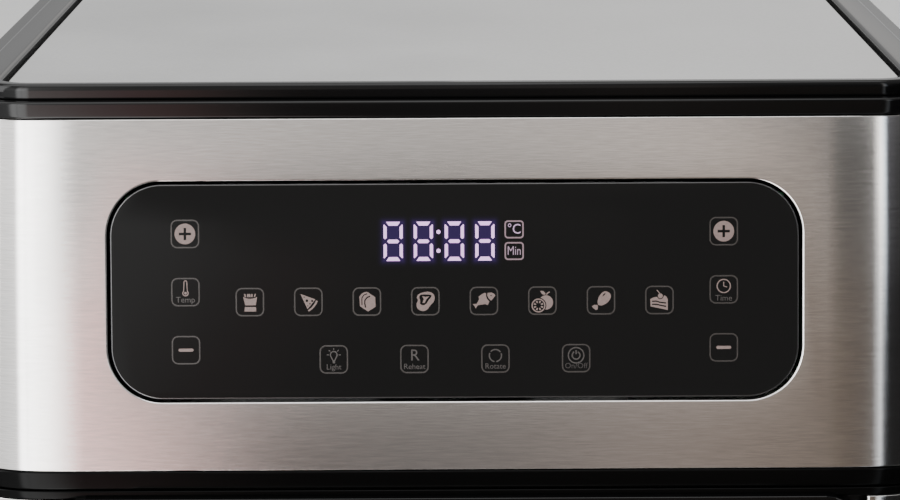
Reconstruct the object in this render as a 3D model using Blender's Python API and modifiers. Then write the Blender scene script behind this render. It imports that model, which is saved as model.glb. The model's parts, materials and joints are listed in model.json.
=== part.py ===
"""Countertop oven with a digital control panel: an upright steel housing with a drop-down glass
door, a cooking chamber with heater, fan and turning spit, and the parts that drive them.

Units are metres, +Z up, front towards -Y. The origin is at the middle of the bounding box's base.
"""

from math import cos, pi, radians, sin, tan

import bmesh
import bpy
from mathutils import Matrix, Vector

# ---------------------------------------------------------------- driving dimensions
WIDTH = 0.340
HEIGHT = 0.375
BODY_DEPTH = 0.318
CORNER_RADIUS = 0.031
SHEET = 0.0006
GAP = 0.0003
ARC_STEPS = 6

# Levels, from the table upwards
FOOT_HEIGHT = 0.012
SKIRT_LIFT = 0.002
TOP_FRAME_HEIGHT = 0.0054
TOP_TRIM_HEIGHT = 0.0053
BAND_HEIGHT = 0.1137
DIVIDER_HEIGHT = 0.006
DIVIDER_THICKNESS = 0.004

# Door
DOOR_HALF_WIDTH = WIDTH / 2 - 0.036
DOOR_PROUD = 0.003
DOOR_SIDE_GAP = 0.0015
DOOR_TOP_GAP = 0.0024
DOOR_BOTTOM = 0.042
DOOR_CORNER = 0.012
DOOR_EDGE_ROUND = 0.003
DOOR_FRAME_THICKNESS = 0.012
INNER_FRAME_THICKNESS = 0.0057
INNER_FRAME_INSET = 0.002
SEAL_STAND = 0.002
SEAL_WIDTH = 0.003
SEAL_MARGIN = 0.0015
GLASS_THICKNESS = 0.0032
DOOR_GLASS_MARGIN = 0.008
DOOR_HEAD = 0.034
WINDOW_MARGIN = 0.020
HINGE_RISE = 0.006
HINGE_SETBACK = 0.0045
PIN_RADIUS = 0.0025
PIN_CLEARANCE = 0.0003
PIN_HOLE = PIN_RADIUS + PIN_CLEARANCE
PIN_SEAT = 0.008
PIN_END_GAP = 0.0005
HINGE_PLATE = 0.003
HINGE_PLATE_HALF = 0.014
HANDLE_REACH = 0.031
HANDLE_RADIUS = 0.007
HANDLE_HALF_LENGTH = DOOR_HALF_WIDTH - 0.024
HANDLE_POST_X = HANDLE_HALF_LENGTH - 0.018
HANDLE_POST_RADIUS = 0.005
HANDLE_DROP = 0.018
HANDLE_EDGE = 0.0015

# Control band and panel
LEAN = radians(10.0)
PANEL_WIDTH = 0.228
PANEL_HEIGHT = 0.0727
PANEL_RADIUS = 0.018
PANEL_RAISE = 0.0011
PANEL_GLASS = 0.003
PANEL_RECESS = 0.0006
PANEL_CLEARANCE = 0.0005
BOARD_THICKNESS = 0.0016
DISPLAY_SIZE = (0.060, 0.022, 0.007)

# Top
TOP_FRAME_SIDE_INSET = 0.0085
TOP_FRAME_FRONT_INSET = 0.0042
TOP_FRAME_SIDE_RIM = 0.0112
TOP_FRAME_FRONT_RIM = 0.0060
TOP_PLATE_GAP = 0.0023
TOP_PLATE_RADIUS = 0.010
TOP_PLATE_DROP = 0.0013
TOP_TRIM_RIM = 0.026
REAR_RADIUS = 0.012
REAR_FLANGE = 0.012
TRIM_EDGE = 0.0013

# Cooking chamber
CAVITY_HALF_WIDTH = DOOR_HALF_WIDTH - 0.010
CAVITY_FLOOR = 0.056
ROOF_DROP = 0.0124
CAVITY_DEPTH = BODY_DEPTH - 0.073
CAVITY_RADIUS = 0.008
FRONT_FRAME_THICKNESS = 0.003
FRONT_FRAME_HALF_WIDTH = WIDTH / 2 - 0.010

# Chamber fittings
RAIL_PLATE = 0.0012
RAIL_LEDGE = 0.007
RAIL_LEVELS = (0.027, 0.054, 0.117)
RAIL_HEIGHT = 0.108
RAIL_DEPTH = CAVITY_DEPTH - 0.025
RACK_THICKNESS = 0.003
RACK_BAR = 0.003
RACK_PITCH = 0.0125
PAN_HEIGHT = 0.014
SIDE_PLAY = 0.001
COIL_RADIUS = 0.074
COIL_PITCH = 0.014
COIL_TURNS = 2
GUARD_DROP = 0.036
GUARD_RADIUS = COIL_RADIUS + COIL_TURNS * COIL_PITCH
GUARD_THICKNESS = 0.0015
COIL_WIRE = 0.0032
COIL_DROP = 0.016
COIL_END_GAP = 0.002

# Fan, shaft and motor
FAN_RADIUS = 0.056
FAN_DROP = 0.008
FAN_DISC = 0.0012
FAN_BLADE_HEIGHT = 0.013
FAN_BLADES = 10
SHAFT_RADIUS = 0.003
SHAFT_RUNNING_GAP = 0.0004
MOTOR_RADIUS = 0.030
MOTOR_HEIGHT = 0.035
MOTOR_BOSS_RADIUS = 0.009
MOTOR_SHOULDER = 0.004
BRACKET_SIZE = 0.110
BRACKET_HEIGHT = 0.009
BRACKET_CORNER = 0.006
COOLING_FAN_RADIUS = 0.040
COOLING_FAN_RISE = 0.018
COOLING_BLADE_HEIGHT = 0.008
COOLING_BLADES = 8
FAN_HUB_RADIUS = 0.008
FAN_HUB_LENGTH = 0.008
FAN_BLADE_LEAN = 0.35
FAN_RIM = 0.002
SHAFT_END = 0.004

# Spit
SPIT_RADIUS = 0.003
SPIT_RISE = 0.086
FORK_OFFSET = 0.055
FORK_REACH = 0.026
FORK_PRONG = 0.045
FORK_WIRE = 0.002
SOCKET_RADIUS = 0.007
SOCKET_LENGTH = 0.019
SOCKET_REACH = 0.012
STUB_RADIUS = 0.004
STUB_LENGTH = 0.018
SOCKET_FLOOR = 0.004
SPIT_END_GAP = 0.0015
FORK_HUB_RADIUS = 0.008
FORK_HUB_HALF = 0.006

# ---------------------------------------------------------------- places that follow
TOTAL_DEPTH = BODY_DEPTH + DOOR_PROUD + HANDLE_REACH
BACK_Y = TOTAL_DEPTH / 2
FRONT_Y = BACK_Y - BODY_DEPTH
DOOR_FACE_Y = FRONT_Y - DOOR_PROUD
HALF_WIDTH = WIDTH / 2

TOP_FRAME_Z = HEIGHT - TOP_FRAME_HEIGHT
TOP_TRIM_Z = TOP_FRAME_Z - GAP - TOP_TRIM_HEIGHT
BAND_TOP = TOP_TRIM_Z - GAP
BAND_BOTTOM = BAND_TOP - BAND_HEIGHT
DIVIDER_Z = BAND_BOTTOM - GAP - DIVIDER_HEIGHT
CASING_TOP = DIVIDER_Z - GAP
SKIRT_Z = FOOT_HEIGHT + SKIRT_LIFT
BAND_TOP_Y = FRONT_Y + BAND_HEIGHT * tan(LEAN)

DOOR_TOP = CASING_TOP - DOOR_TOP_GAP
CAVITY_ROOF = CASING_TOP - ROOF_DROP
DOOR_BACK_Y = DOOR_FACE_Y + DOOR_FRAME_THICKNESS + GAP + INNER_FRAME_THICKNESS
RECESS_Y = DOOR_BACK_Y + SEAL_STAND
RETURN_X = DOOR_HALF_WIDTH + DOOR_SIDE_GAP
HINGE_Y = FRONT_Y + HINGE_SETBACK
HINGE_Z = DOOR_BOTTOM + HINGE_RISE
HANDLE_Y = DOOR_FACE_Y - HANDLE_REACH + HANDLE_RADIUS
HANDLE_Z = DOOR_TOP - HANDLE_DROP

FRAME_BACK_Y = RECESS_Y + FRONT_FRAME_THICKNESS
LINER_FRONT_Y = FRAME_BACK_Y + GAP
LINER_BACK_Y = LINER_FRONT_Y + CAVITY_DEPTH
CAVITY_MIDDLE_Y = (LINER_FRONT_Y + LINER_BACK_Y) / 2
LINER_TOP = CAVITY_ROOF + SHEET
SPIT_Z = CAVITY_FLOOR + SPIT_RISE
SOCKET_MOUTH = CAVITY_HALF_WIDTH - SOCKET_REACH
SOCKET_END = SOCKET_MOUTH + SOCKET_LENGTH
FAN_TOP = CAVITY_ROOF - FAN_DROP
BRACKET_TOP = LINER_TOP + GAP + BRACKET_HEIGHT
MOTOR_TOP = BRACKET_TOP + GAP + MOTOR_HEIGHT
COOLING_FAN_TOP = MOTOR_TOP + COOLING_FAN_RISE

# ---------------------------------------------------------------- scene and materials
for old in list(bpy.data.objects):
    bpy.data.objects.remove(old)

PARTS = bpy.data.collections.new("toaster_oven")
CUTTERS = bpy.data.collections.new("cutters")
bpy.context.scene.collection.children.link(PARTS)
bpy.context.scene.collection.children.link(CUTTERS)


def paint(name, colour, roughness, metallic=0.0, alpha=1.0):
    """A Principled material with one colour."""
    made = bpy.data.materials.new(name)
    made.use_nodes = True
    shader = made.node_tree.nodes["Principled BSDF"]
    shader.inputs["Base Color"].default_value = (*colour, 1.0)
    shader.inputs["Roughness"].default_value = roughness
    shader.inputs["Metallic"].default_value = metallic
    shader.inputs["Alpha"].default_value = alpha
    made.diffuse_color = (*colour, alpha)
    return made


BRUSHED = paint("brushed_steel", (0.60, 0.58, 0.56), 0.32, 1.0)
SATIN = paint("satin_steel", (0.66, 0.66, 0.65), 0.45, 1.0)
GLOSS_BLACK = paint("gloss_black", (0.012, 0.012, 0.013), 0.12)
MATTE_BLACK = paint("matte_black", (0.02, 0.02, 0.02), 0.55)
RUBBER = paint("rubber", (0.025, 0.025, 0.025), 0.8)
PANEL_BLACK = paint("panel_glass", (0.01, 0.01, 0.011), 0.06)
CLEAR = paint("clear_glass", (0.25, 0.26, 0.26), 0.03, 0.0, 0.35)
LINER_STEEL = paint("liner_steel", (0.50, 0.50, 0.49), 0.38, 1.0)
CHROMED = paint("chromed_wire", (0.72, 0.72, 0.72), 0.15, 1.0)
HEATER = paint("heater_sheath", (0.12, 0.11, 0.10), 0.55, 1.0)
ALUMINIUM = paint("aluminium", (0.70, 0.70, 0.70), 0.35, 1.0)
BOARD = paint("circuit_board", (0.02, 0.14, 0.06), 0.45)
DISPLAY = paint("display", (0.03, 0.03, 0.035), 0.3)
COPPER = paint("copper_winding", (0.55, 0.24, 0.10), 0.4, 1.0)
MOTOR_STEEL = paint("motor_steel", (0.42, 0.42, 0.43), 0.45, 1.0)
WHITE_PLASTIC = paint("white_plastic", (0.75, 0.74, 0.70), 0.5)
SILICONE = paint("silicone", (0.05, 0.05, 0.05), 0.7)


# ---------------------------------------------------------------- modelling helpers
def add_object(name, data, skin, collection=None):
    """A new object for this data, in the parts' collection unless another is named."""
    made = bpy.data.objects.new(name, data)
    (collection or PARTS).objects.link(made)
    if skin:
        made.data.materials.append(skin)
    return made


def hide_cutter(cutter):
    cutter.hide_render = True
    cutter.display_type = "WIRE"
    return cutter


def smooth(made, angle=radians(35.0)):
    """Round faces shade smooth, and edges sharper than the angle stay sharp."""
    made.data.shade_smooth()
    made.data.set_sharp_from_angle(angle=angle)
    return made


def add_block(geometry, low, high):
    """Adds a box between two corners to a bmesh."""
    size = Vector(high) - Vector(low)
    middle = (Vector(high) + Vector(low)) / 2
    place = Matrix.Translation(middle) @ Matrix.Diagonal((*size, 1.0))
    bmesh.ops.create_cube(geometry, size=1.0, matrix=place)


AXIS_TURN = {
    "X": Matrix.Rotation(pi / 2, 4, "Y"),
    "Y": Matrix.Rotation(-pi / 2, 4, "X"),
    "Z": Matrix.Identity(4),
}


def add_rod(geometry, centre, radius, length, axis, sides=24):
    """Adds a cylinder with its middle at centre to a bmesh."""
    bmesh.ops.create_cone(
        geometry,
        cap_ends=True,
        segments=sides,
        radius1=radius,
        radius2=radius,
        depth=length,
        matrix=Matrix.Translation(Vector(centre)) @ AXIS_TURN[axis],
    )


def mesh_object(name, geometry, skin, collection=None):
    mesh = bpy.data.meshes.new(name)
    geometry.to_mesh(mesh)
    geometry.free()
    return add_object(name, mesh, skin, collection)


def block(name, low, high, skin, bevel=0.0, segments=2):
    """A box between two corners, with rounded edges where a bevel is given."""
    geometry = bmesh.new()
    add_block(geometry, low, high)
    made = mesh_object(name, geometry, skin)
    if bevel:
        round_edges(made, bevel, segments)
    return made


def rod(name, centre, radius, length, axis, skin, sides=24):
    geometry = bmesh.new()
    add_rod(geometry, centre, radius, length, axis, sides)
    return smooth(mesh_object(name, geometry, skin))


def round_edges(made, width, segments=2, angle=radians(40.0)):
    bevel = made.modifiers.new("rounded_edges", "BEVEL")
    bevel.width = width
    bevel.segments = segments
    bevel.limit_method = "ANGLE"
    bevel.angle_limit = angle
    return bevel


def cutter_object(name, blocks=(), rods=()):
    """One cutter made of separate boxes and rods, each given by its own measures."""
    geometry = bmesh.new()
    for low, high in blocks:
        add_block(geometry, low, high)
    for centre, radius, length, axis in rods:
        add_rod(geometry, centre, radius, length, axis)
    return hide_cutter(mesh_object(name, geometry, None, CUTTERS))


def boolean(made, other, operation="DIFFERENCE"):
    step = made.modifiers.new(other.name, "BOOLEAN")
    step.object = other
    step.operation = operation
    step.solver = "EXACT"
    return made


def corner_arc(centre, radius, start, steps=ARC_STEPS):
    """The points of a quarter circle, anticlockwise from the start angle."""
    return [
        (
            centre[0] + radius * cos(start + pi / 2 * step / steps),
            centre[1] + radius * sin(start + pi / 2 * step / steps),
        )
        for step in range(steps + 1)
    ]


def rounded_box(low, high, near_radius, far_radius=None, steps=ARC_STEPS):
    """An anticlockwise outline with one radius at its low-y corners and one at its high-y corners."""
    far_radius = near_radius if far_radius is None else far_radius
    points = corner_arc((high[0] - far_radius, high[1] - far_radius), far_radius, 0, steps)
    points += corner_arc((low[0] + far_radius, high[1] - far_radius), far_radius, pi / 2, steps)
    points += corner_arc((low[0] + near_radius, low[1] + near_radius), near_radius, pi, steps)
    points += corner_arc(
        (high[0] - near_radius, low[1] + near_radius), near_radius, 3 * pi / 2, steps
    )
    return points


def centred_box(width, height, radius, steps=ARC_STEPS):
    return rounded_box((-width / 2, -height / 2), (width / 2, height / 2), radius, None, steps)


def plate(name, outlines, thickness, skin, location, turn=(0.0, 0.0, 0.0), collection=None):
    """A flat plate from closed outlines, holes included, centred on its thickness."""
    curve = bpy.data.curves.new(name + "_outline", "CURVE")
    curve.dimensions = "2D"
    curve.fill_mode = "BOTH"
    curve.extrude = thickness / 2
    for outline in outlines:
        spline = curve.splines.new("POLY")
        spline.points.add(len(outline) - 1)
        for point, (x, y) in zip(spline.points, outline):
            point.co = (x, y, 0.0, 1.0)
        spline.use_cyclic_u = True
    drawn = bpy.data.objects.new(name + "_outline", curve)
    PARTS.objects.link(drawn)
    drawn.location = location
    drawn.rotation_euler = turn
    return curve_to_mesh(drawn, name, skin, collection)


def curve_to_mesh(drawn, name, skin, collection=None):
    """Replaces a curve object by its mesh, with its caps welded on."""
    bpy.context.view_layer.update()
    graph = bpy.context.evaluated_depsgraph_get()
    mesh = bpy.data.meshes.new_from_object(drawn.evaluated_get(graph))
    geometry = bmesh.new()
    geometry.from_mesh(mesh)
    bmesh.ops.remove_doubles(geometry, verts=geometry.verts, dist=1e-6)
    bmesh.ops.recalc_face_normals(geometry, faces=geometry.faces)
    geometry.to_mesh(mesh)
    geometry.free()
    mesh.materials.clear()
    made = add_object(name, mesh, skin, collection)
    made.matrix_world = drawn.matrix_world.copy()
    bpy.data.objects.remove(drawn)
    return made


def tube(name, points, radius, skin, closed=False, resolution=2):
    """A round bar along the points, with closed ends."""
    curve = bpy.data.curves.new(name, "CURVE")
    curve.dimensions = "3D"
    curve.bevel_depth = radius
    curve.bevel_resolution = resolution
    curve.use_fill_caps = True
    spline = curve.splines.new("POLY")
    spline.points.add(len(points) - 1)
    for point, place in zip(spline.points, points):
        point.co = (*place, 1.0)
    spline.use_cyclic_u = closed
    return add_object(name, curve, skin)


def turned(name, profile, skin, location=(0.0, 0.0, 0.0), axis="Z", steps=24, closed=False):
    """A turned solid: its profile runs down the outer side as (radius, height) pairs."""
    geometry = bmesh.new()
    corners = [geometry.verts.new((radius, 0.0, height)) for radius, height in profile]
    for first, second in zip(corners, corners[1:]):
        geometry.edges.new((first, second))
    if closed:
        geometry.edges.new((corners[-1], corners[0]))
    made = mesh_object(name, geometry, skin)
    screw = made.modifiers.new("turning", "SCREW")
    screw.axis = "Z"
    screw.steps = steps
    screw.render_steps = steps
    screw.use_merge_vertices = True
    screw.merge_threshold = 1e-6
    screw.use_smooth_shade = False
    made.matrix_world = Matrix.Translation(Vector(location)) @ AXIS_TURN[axis]
    return made


def thicken(made, thickness):
    """Gives an open surface its thickness on the side away from its normals."""
    solidify = made.modifiers.new("sheet", "SOLIDIFY")
    solidify.thickness = thickness
    solidify.offset = -1.0
    solidify.use_even_offset = True
    return made


def wall(name, lower, upper, low_z, high_z, thickness, skin):
    """A sheet wall that rises from one open plan line to another of as many points."""
    geometry = bmesh.new()
    bottom = [geometry.verts.new((x, y, low_z)) for x, y in lower]
    top = [geometry.verts.new((x, y, high_z)) for x, y in upper]
    for index in range(len(bottom) - 1):
        geometry.faces.new((bottom[index], bottom[index + 1], top[index + 1], top[index]))
    return smooth(thicken(mesh_object(name, geometry, skin), thickness))


def tray(name, outline, height, thickness, skin, location, turn=(0.0, 0.0, 0.0)):
    """An open box of sheet: its floor is the outline, and its walls rise along local +Z."""
    geometry = bmesh.new()
    floor = [geometry.verts.new((x, y, 0.0)) for x, y in outline]
    rim = [geometry.verts.new((x, y, height)) for x, y in outline]
    geometry.faces.new(list(reversed(floor)))
    for index in range(len(floor)):
        after = (index + 1) % len(floor)
        geometry.faces.new((floor[index], floor[after], rim[after], rim[index]))
    made = thicken(mesh_object(name, geometry, skin), thickness)
    made.location = location
    made.rotation_euler = turn
    return smooth(made)


def mirrored(points):
    """A plan line mirrored in X, in the reverse order so that it faces the same way."""
    return [(-x, y) for x, y in reversed(points)]


FACE_FRONT = (pi / 2, 0.0, 0.0)
PANEL_TURN = (pi / 2 - LEAN, 0.0, 0.0)
SIDES = (("left", -1), ("right", 1))


def casing_line(front_y, half_width, radius, back_y):
    """The open plan line of the casing, from its left rear end round the front to the right."""
    right = corner_arc((half_width - radius, front_y + radius), radius, 3 * pi / 2)
    right.append((half_width, back_y))
    return mirrored(right) + right


def panel_place(rise=0.0, depth=0.0, sideways=0.0):
    """A point on the control band: rise along its slope and depth behind its outer face."""
    slope = BAND_HEIGHT / cos(LEAN) / 2 + PANEL_RAISE + rise
    return Vector(
        (
            sideways,
            FRONT_Y + slope * sin(LEAN) + depth * cos(LEAN),
            BAND_BOTTOM + slope * cos(LEAN) - depth * sin(LEAN),
        )
    )


# ---------------------------------------------------------------- base and casing
BASE_HALF_WIDTH = HALF_WIDTH - SHEET - GAP
BASE_FRONT_Y = RECESS_Y + GAP
BASE_BACK_Y = BACK_Y - REAR_FLANGE - GAP
BASE_FLANGE = 0.010
BASE_RADIUS = 0.022
SMALL_RADIUS = 0.004
CASING_BACK_Y = BACK_Y - REAR_FLANGE - GAP
FOOT_RADIUS = 0.011
FOOT_TAPER = 0.002
FOOT_EDGE = 0.001
FOOT_X = HALF_WIDTH - 0.038
FOOT_INSET_Y = 0.040


def make_base_pan():
    outline = rounded_box(
        (-BASE_HALF_WIDTH, BASE_FRONT_Y), (BASE_HALF_WIDTH, BASE_BACK_Y), BASE_RADIUS, SMALL_RADIUS
    )
    tray("base_pan", outline, BASE_FLANGE, SHEET, MATTE_BLACK, (0.0, 0.0, FOOT_HEIGHT))


def make_feet():
    ends = (("front", BASE_FRONT_Y + FOOT_INSET_Y), ("rear", BASE_BACK_Y - FOOT_INSET_Y))
    top = FOOT_HEIGHT - GAP
    sole = FOOT_RADIUS - FOOT_TAPER
    profile = ((0.0, top), (FOOT_RADIUS, top), (sole, FOOT_EDGE))
    profile += ((sole - FOOT_EDGE, 0.0), (0.0, 0.0))
    for end, y in ends:
        for side, sign in SIDES:
            turned(f"foot_{end}_{side}", profile, RUBBER, (sign * FOOT_X, y, 0.0))


def make_side_panels():
    line = [(RETURN_X, RECESS_Y - GAP), (RETURN_X, FRONT_Y)]
    arc_centre = (HALF_WIDTH - CORNER_RADIUS, FRONT_Y + CORNER_RADIUS)
    line += corner_arc(arc_centre, CORNER_RADIUS, 3 * pi / 2)
    line.append((HALF_WIDTH, CASING_BACK_Y))
    for side, sign in SIDES:
        points = line if sign > 0 else mirrored(line)
        name = "side_panel_" + side
        panel = wall(name, points, points, SKIRT_Z, CASING_TOP, SHEET, BRUSHED)
        hole = ((sign * RETURN_X, HINGE_Y, HINGE_Z), PIN_HOLE, THROUGH, "X")
        boolean(panel, cutter_object(name + "_pin_hole", rods=[hole]))


THROUGH = 0.008
VENT_WIDTH = 0.022
VENT_HEIGHT = 0.0035
VENT_PITCH_X = 0.030
VENT_PITCH_Z = 0.010
VENT_COLUMNS = 7
VENT_ROWS = 6
VENT_LOW = BAND_BOTTOM + 0.035
DUCT_HALF_WIDTH = 0.045
DUCT_LOW = CAVITY_ROOF - 0.040
DUCT_HIGH = CAVITY_ROOF - 0.008
DUCT_ROWS = 3
DUCT_RADIUS = 0.003
SLOT_RISE = 0.004
GLAND_X = HALF_WIDTH - 0.055
GLAND_Z = 0.045
GLAND_RADIUS = 0.009
GLAND_BORE = 0.0045
GLAND_LENGTH = 0.012
GLAND_LIP = 0.003


def slot_blocks(middle_x, columns, low_z, rows, low_y, high_y):
    """The boxes of a field of horizontal slots."""
    blocks = []
    for row in range(rows):
        z = low_z + row * VENT_PITCH_Z
        for column in range(columns):
            x = middle_x + (column - (columns - 1) / 2) * VENT_PITCH_X
            low = (x - VENT_WIDTH / 2, low_y, z)
            blocks.append((low, (x + VENT_WIDTH / 2, high_y, z + VENT_HEIGHT)))
    return blocks


def make_back_cover():
    outline = rounded_box((-HALF_WIDTH, SKIRT_Z), (HALF_WIDTH, BAND_TOP), SMALL_RADIUS, None, 2)
    cover = tray(
        "back_cover", outline, REAR_FLANGE, SHEET, MATTE_BLACK, (0.0, BACK_Y, 0.0), FACE_FRONT
    )
    span = (BACK_Y - THROUGH / 2, BACK_Y + THROUGH / 2)
    blocks = slot_blocks(0.0, VENT_COLUMNS, VENT_LOW, VENT_ROWS, *span)
    blocks += slot_blocks(0.0, 3, DUCT_LOW + SLOT_RISE, DUCT_ROWS, *span)
    gland = ((GLAND_X, BACK_Y, GLAND_Z), GLAND_RADIUS + GAP, THROUGH, "Y")
    boolean(cover, cutter_object("back_cover_openings", blocks, [gland]))


def make_cable_gland():
    """The inlet grommet for the mains lead, which itself is not part of the model."""
    face = BACK_Y - GAP
    lip_y = -SHEET - 2 * GAP
    lip = GLAND_RADIUS + GLAND_LIP
    profile = (
        (GLAND_BORE, 0.0),
        (GLAND_RADIUS, 0.0),
        (GLAND_RADIUS, lip_y),
        (lip, lip_y),
        (lip, -GLAND_LENGTH),
        (GLAND_BORE, -GLAND_LENGTH),
    )
    turned("cable_gland", profile, RUBBER, (GLAND_X, face, GLAND_Z), "Y", 20, True)


def make_divider_ring():
    line = casing_line(FRONT_Y, HALF_WIDTH, CORNER_RADIUS, CASING_BACK_Y)
    high = DIVIDER_Z + DIVIDER_HEIGHT
    wall("divider_ring", line, line, DIVIDER_Z, high, DIVIDER_THICKNESS, GLOSS_BLACK)


def make_control_band():
    lower = casing_line(FRONT_Y, HALF_WIDTH, CORNER_RADIUS, CASING_BACK_Y)
    upper = casing_line(BAND_TOP_Y, HALF_WIDTH, CORNER_RADIUS, CASING_BACK_Y)
    band = wall("control_band", lower, upper, BAND_BOTTOM, BAND_TOP, SHEET, BRUSHED)
    width = PANEL_WIDTH + 2 * PANEL_CLEARANCE
    height = PANEL_HEIGHT + 2 * PANEL_CLEARANCE
    opening = centred_box(width, height, PANEL_RADIUS + PANEL_CLEARANCE)
    place = panel_place()
    cutter = plate("panel_opening", [opening], THROUGH, None, place, PANEL_TURN, CUTTERS)
    boolean(band, hide_cutter(cutter))


FASCIA_TOP_GAP = 0.0035
FASCIA_SHEET = 0.0012
FRAME_FOOT_GAP = 0.002


def make_lower_fascia():
    """A folded channel below the door."""
    top = DOOR_BOTTOM - FASCIA_TOP_GAP
    back = RECESS_Y - GAP
    inner_front = FRONT_Y + FASCIA_SHEET
    outline = [
        (FRONT_Y, SKIRT_Z),
        (back, SKIRT_Z),
        (back, SKIRT_Z + FASCIA_SHEET),
        (inner_front, SKIRT_Z + FASCIA_SHEET),
        (inner_front, top - FASCIA_SHEET),
        (back, top - FASCIA_SHEET),
        (back, top),
        (FRONT_Y, top),
    ]
    turn = (pi / 2, 0.0, pi / 2)
    length = 2 * (RETURN_X - GAP)
    plate("lower_fascia", [outline], length, BRUSHED, (0.0, 0.0, 0.0), turn)


def make_front_frame():
    half = FRONT_FRAME_HALF_WIDTH
    outline = rounded_box(
        (-half, FOOT_HEIGHT + BASE_FLANGE + FRAME_FOOT_GAP),
        (half, CASING_TOP - GAP),
        SMALL_RADIUS,
        None,
        2,
    )
    opening = rounded_box(
        (-CAVITY_HALF_WIDTH, CAVITY_FLOOR), (CAVITY_HALF_WIDTH, CAVITY_ROOF), CAVITY_RADIUS
    )
    middle_y = RECESS_Y + FRONT_FRAME_THICKNESS / 2
    frame = plate(
        "front_frame",
        [outline, opening],
        FRONT_FRAME_THICKNESS,
        MATTE_BLACK,
        (0.0, middle_y, 0.0),
        FACE_FRONT,
    )
    hole = ((SWITCH_X, middle_y, PLUNGER_Z), PLUNGER_RADIUS + PLUNGER_PLAY, THROUGH, "Y")
    boolean(frame, cutter_object("plunger_hole", rods=[hole]))


# ---------------------------------------------------------------- top
def top_outline(side_inset, front_inset, rear_inset, front_radius, rear_radius):
    low = (-HALF_WIDTH + side_inset, BAND_TOP_Y + front_inset)
    high = (HALF_WIDTH - side_inset, BACK_Y - rear_inset)
    return rounded_box(low, high, front_radius, rear_radius)


FRAME_INNER_SIDE = TOP_FRAME_SIDE_INSET + TOP_FRAME_SIDE_RIM
FRAME_INNER_FRONT = TOP_FRAME_FRONT_INSET + TOP_FRAME_FRONT_RIM
PLATE_SIDE = FRAME_INNER_SIDE + TOP_PLATE_GAP
PLATE_FRONT = FRAME_INNER_FRONT + TOP_PLATE_GAP


def make_top_trim():
    outer = top_outline(0.0, 0.0, 0.0, CORNER_RADIUS, REAR_RADIUS)
    rim = TOP_TRIM_RIM
    inner = top_outline(rim, rim, rim, 2 * SMALL_RADIUS, 2 * SMALL_RADIUS)
    middle = TOP_TRIM_Z + TOP_TRIM_HEIGHT / 2
    trim = plate("top_trim", [outer, inner], TOP_TRIM_HEIGHT, GLOSS_BLACK, (0.0, 0.0, middle))
    round_edges(trim, TRIM_EDGE, 1)


def make_top_frame():
    outer_radius = CORNER_RADIUS - TOP_FRAME_SIDE_INSET
    outer = top_outline(
        TOP_FRAME_SIDE_INSET, TOP_FRAME_FRONT_INSET, TOP_FRAME_SIDE_INSET, outer_radius, REAR_RADIUS
    )
    inner_radius = TOP_PLATE_RADIUS + TOP_PLATE_GAP
    inner = top_outline(
        FRAME_INNER_SIDE, FRAME_INNER_FRONT, FRAME_INNER_SIDE, inner_radius, inner_radius
    )
    middle = TOP_FRAME_Z + TOP_FRAME_HEIGHT / 2
    frame = plate("top_frame", [outer, inner], TOP_FRAME_HEIGHT, GLOSS_BLACK, (0.0, 0.0, middle))
    round_edges(frame, TRIM_EDGE, 1)


def make_top_plate():
    """A shallow steel pan, open side down, resting on the trim."""
    outline = top_outline(PLATE_SIDE, PLATE_FRONT, PLATE_SIDE, TOP_PLATE_RADIUS, TOP_PLATE_RADIUS)
    upside_down = [(x, -y) for x, y in reversed(outline)]
    height = TOP_FRAME_HEIGHT - TOP_PLATE_DROP
    top = HEIGHT - TOP_PLATE_DROP
    tray("top_plate", upside_down, height, SHEET, SATIN, (0.0, 0.0, top), (pi, 0.0, 0.0))


# ---------------------------------------------------------------- control panel
def make_control_panel():
    outline = centred_box(PANEL_WIDTH, PANEL_HEIGHT, PANEL_RADIUS, 8)
    place = panel_place(depth=PANEL_RECESS + PANEL_GLASS / 2)
    plate("control_panel", [outline], PANEL_GLASS, PANEL_BLACK, place, PANEL_TURN)


DISPLAY_RISE = 0.0163
BOARD_MARGIN = 0.004


def make_display_and_board():
    """The display sits right behind the glass, and the touch board behind the display."""
    behind_glass = PANEL_RECESS + PANEL_GLASS + GAP
    width, height, depth = DISPLAY_SIZE
    rise = DISPLAY_RISE
    place = panel_place(rise, behind_glass + depth / 2)
    outline = centred_box(width, height, 0.001, 1)
    plate("display_module", [outline], depth, DISPLAY, place, PANEL_TURN)
    board_depth = behind_glass + depth + GAP + BOARD_THICKNESS / 2
    width = PANEL_WIDTH - 2 * BOARD_MARGIN
    height = PANEL_HEIGHT - 2 * BOARD_MARGIN
    outline = centred_box(width, height, 0.004, 2)
    place = panel_place(0.0, board_depth)
    plate("touch_board", [outline], BOARD_THICKNESS, BOARD, place, PANEL_TURN)


# ---------------------------------------------------------------- cooking chamber
LAMP_Y = 0.080
LAMP_Z = CAVITY_ROOF - 0.026
LAMP_HOLE = 0.013
LAMP_COVER_RADIUS = 0.017
LAMP_COVER_DEPTH = 0.006
LAMP_LENGTH = 0.026
LAMP_FLANGE_RADIUS = 0.015
LAMP_FLANGE_DEPTH = 0.010
SENSOR_Y = 0.060
SENSOR_Z = CAVITY_ROOF - 0.024
SENSOR_RADIUS = 0.002
SENSOR_REACH = 0.027
SENSOR_NUT_RADIUS = 0.007
SENSOR_NUT_DEPTH = 0.002
SENSOR_TAIL_RADIUS = 0.004
SENSOR_TAIL_LENGTH = 0.012
SOCKET_HOLE = SOCKET_RADIUS + 0.002
SHAFT_HOLE = 0.009


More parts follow.
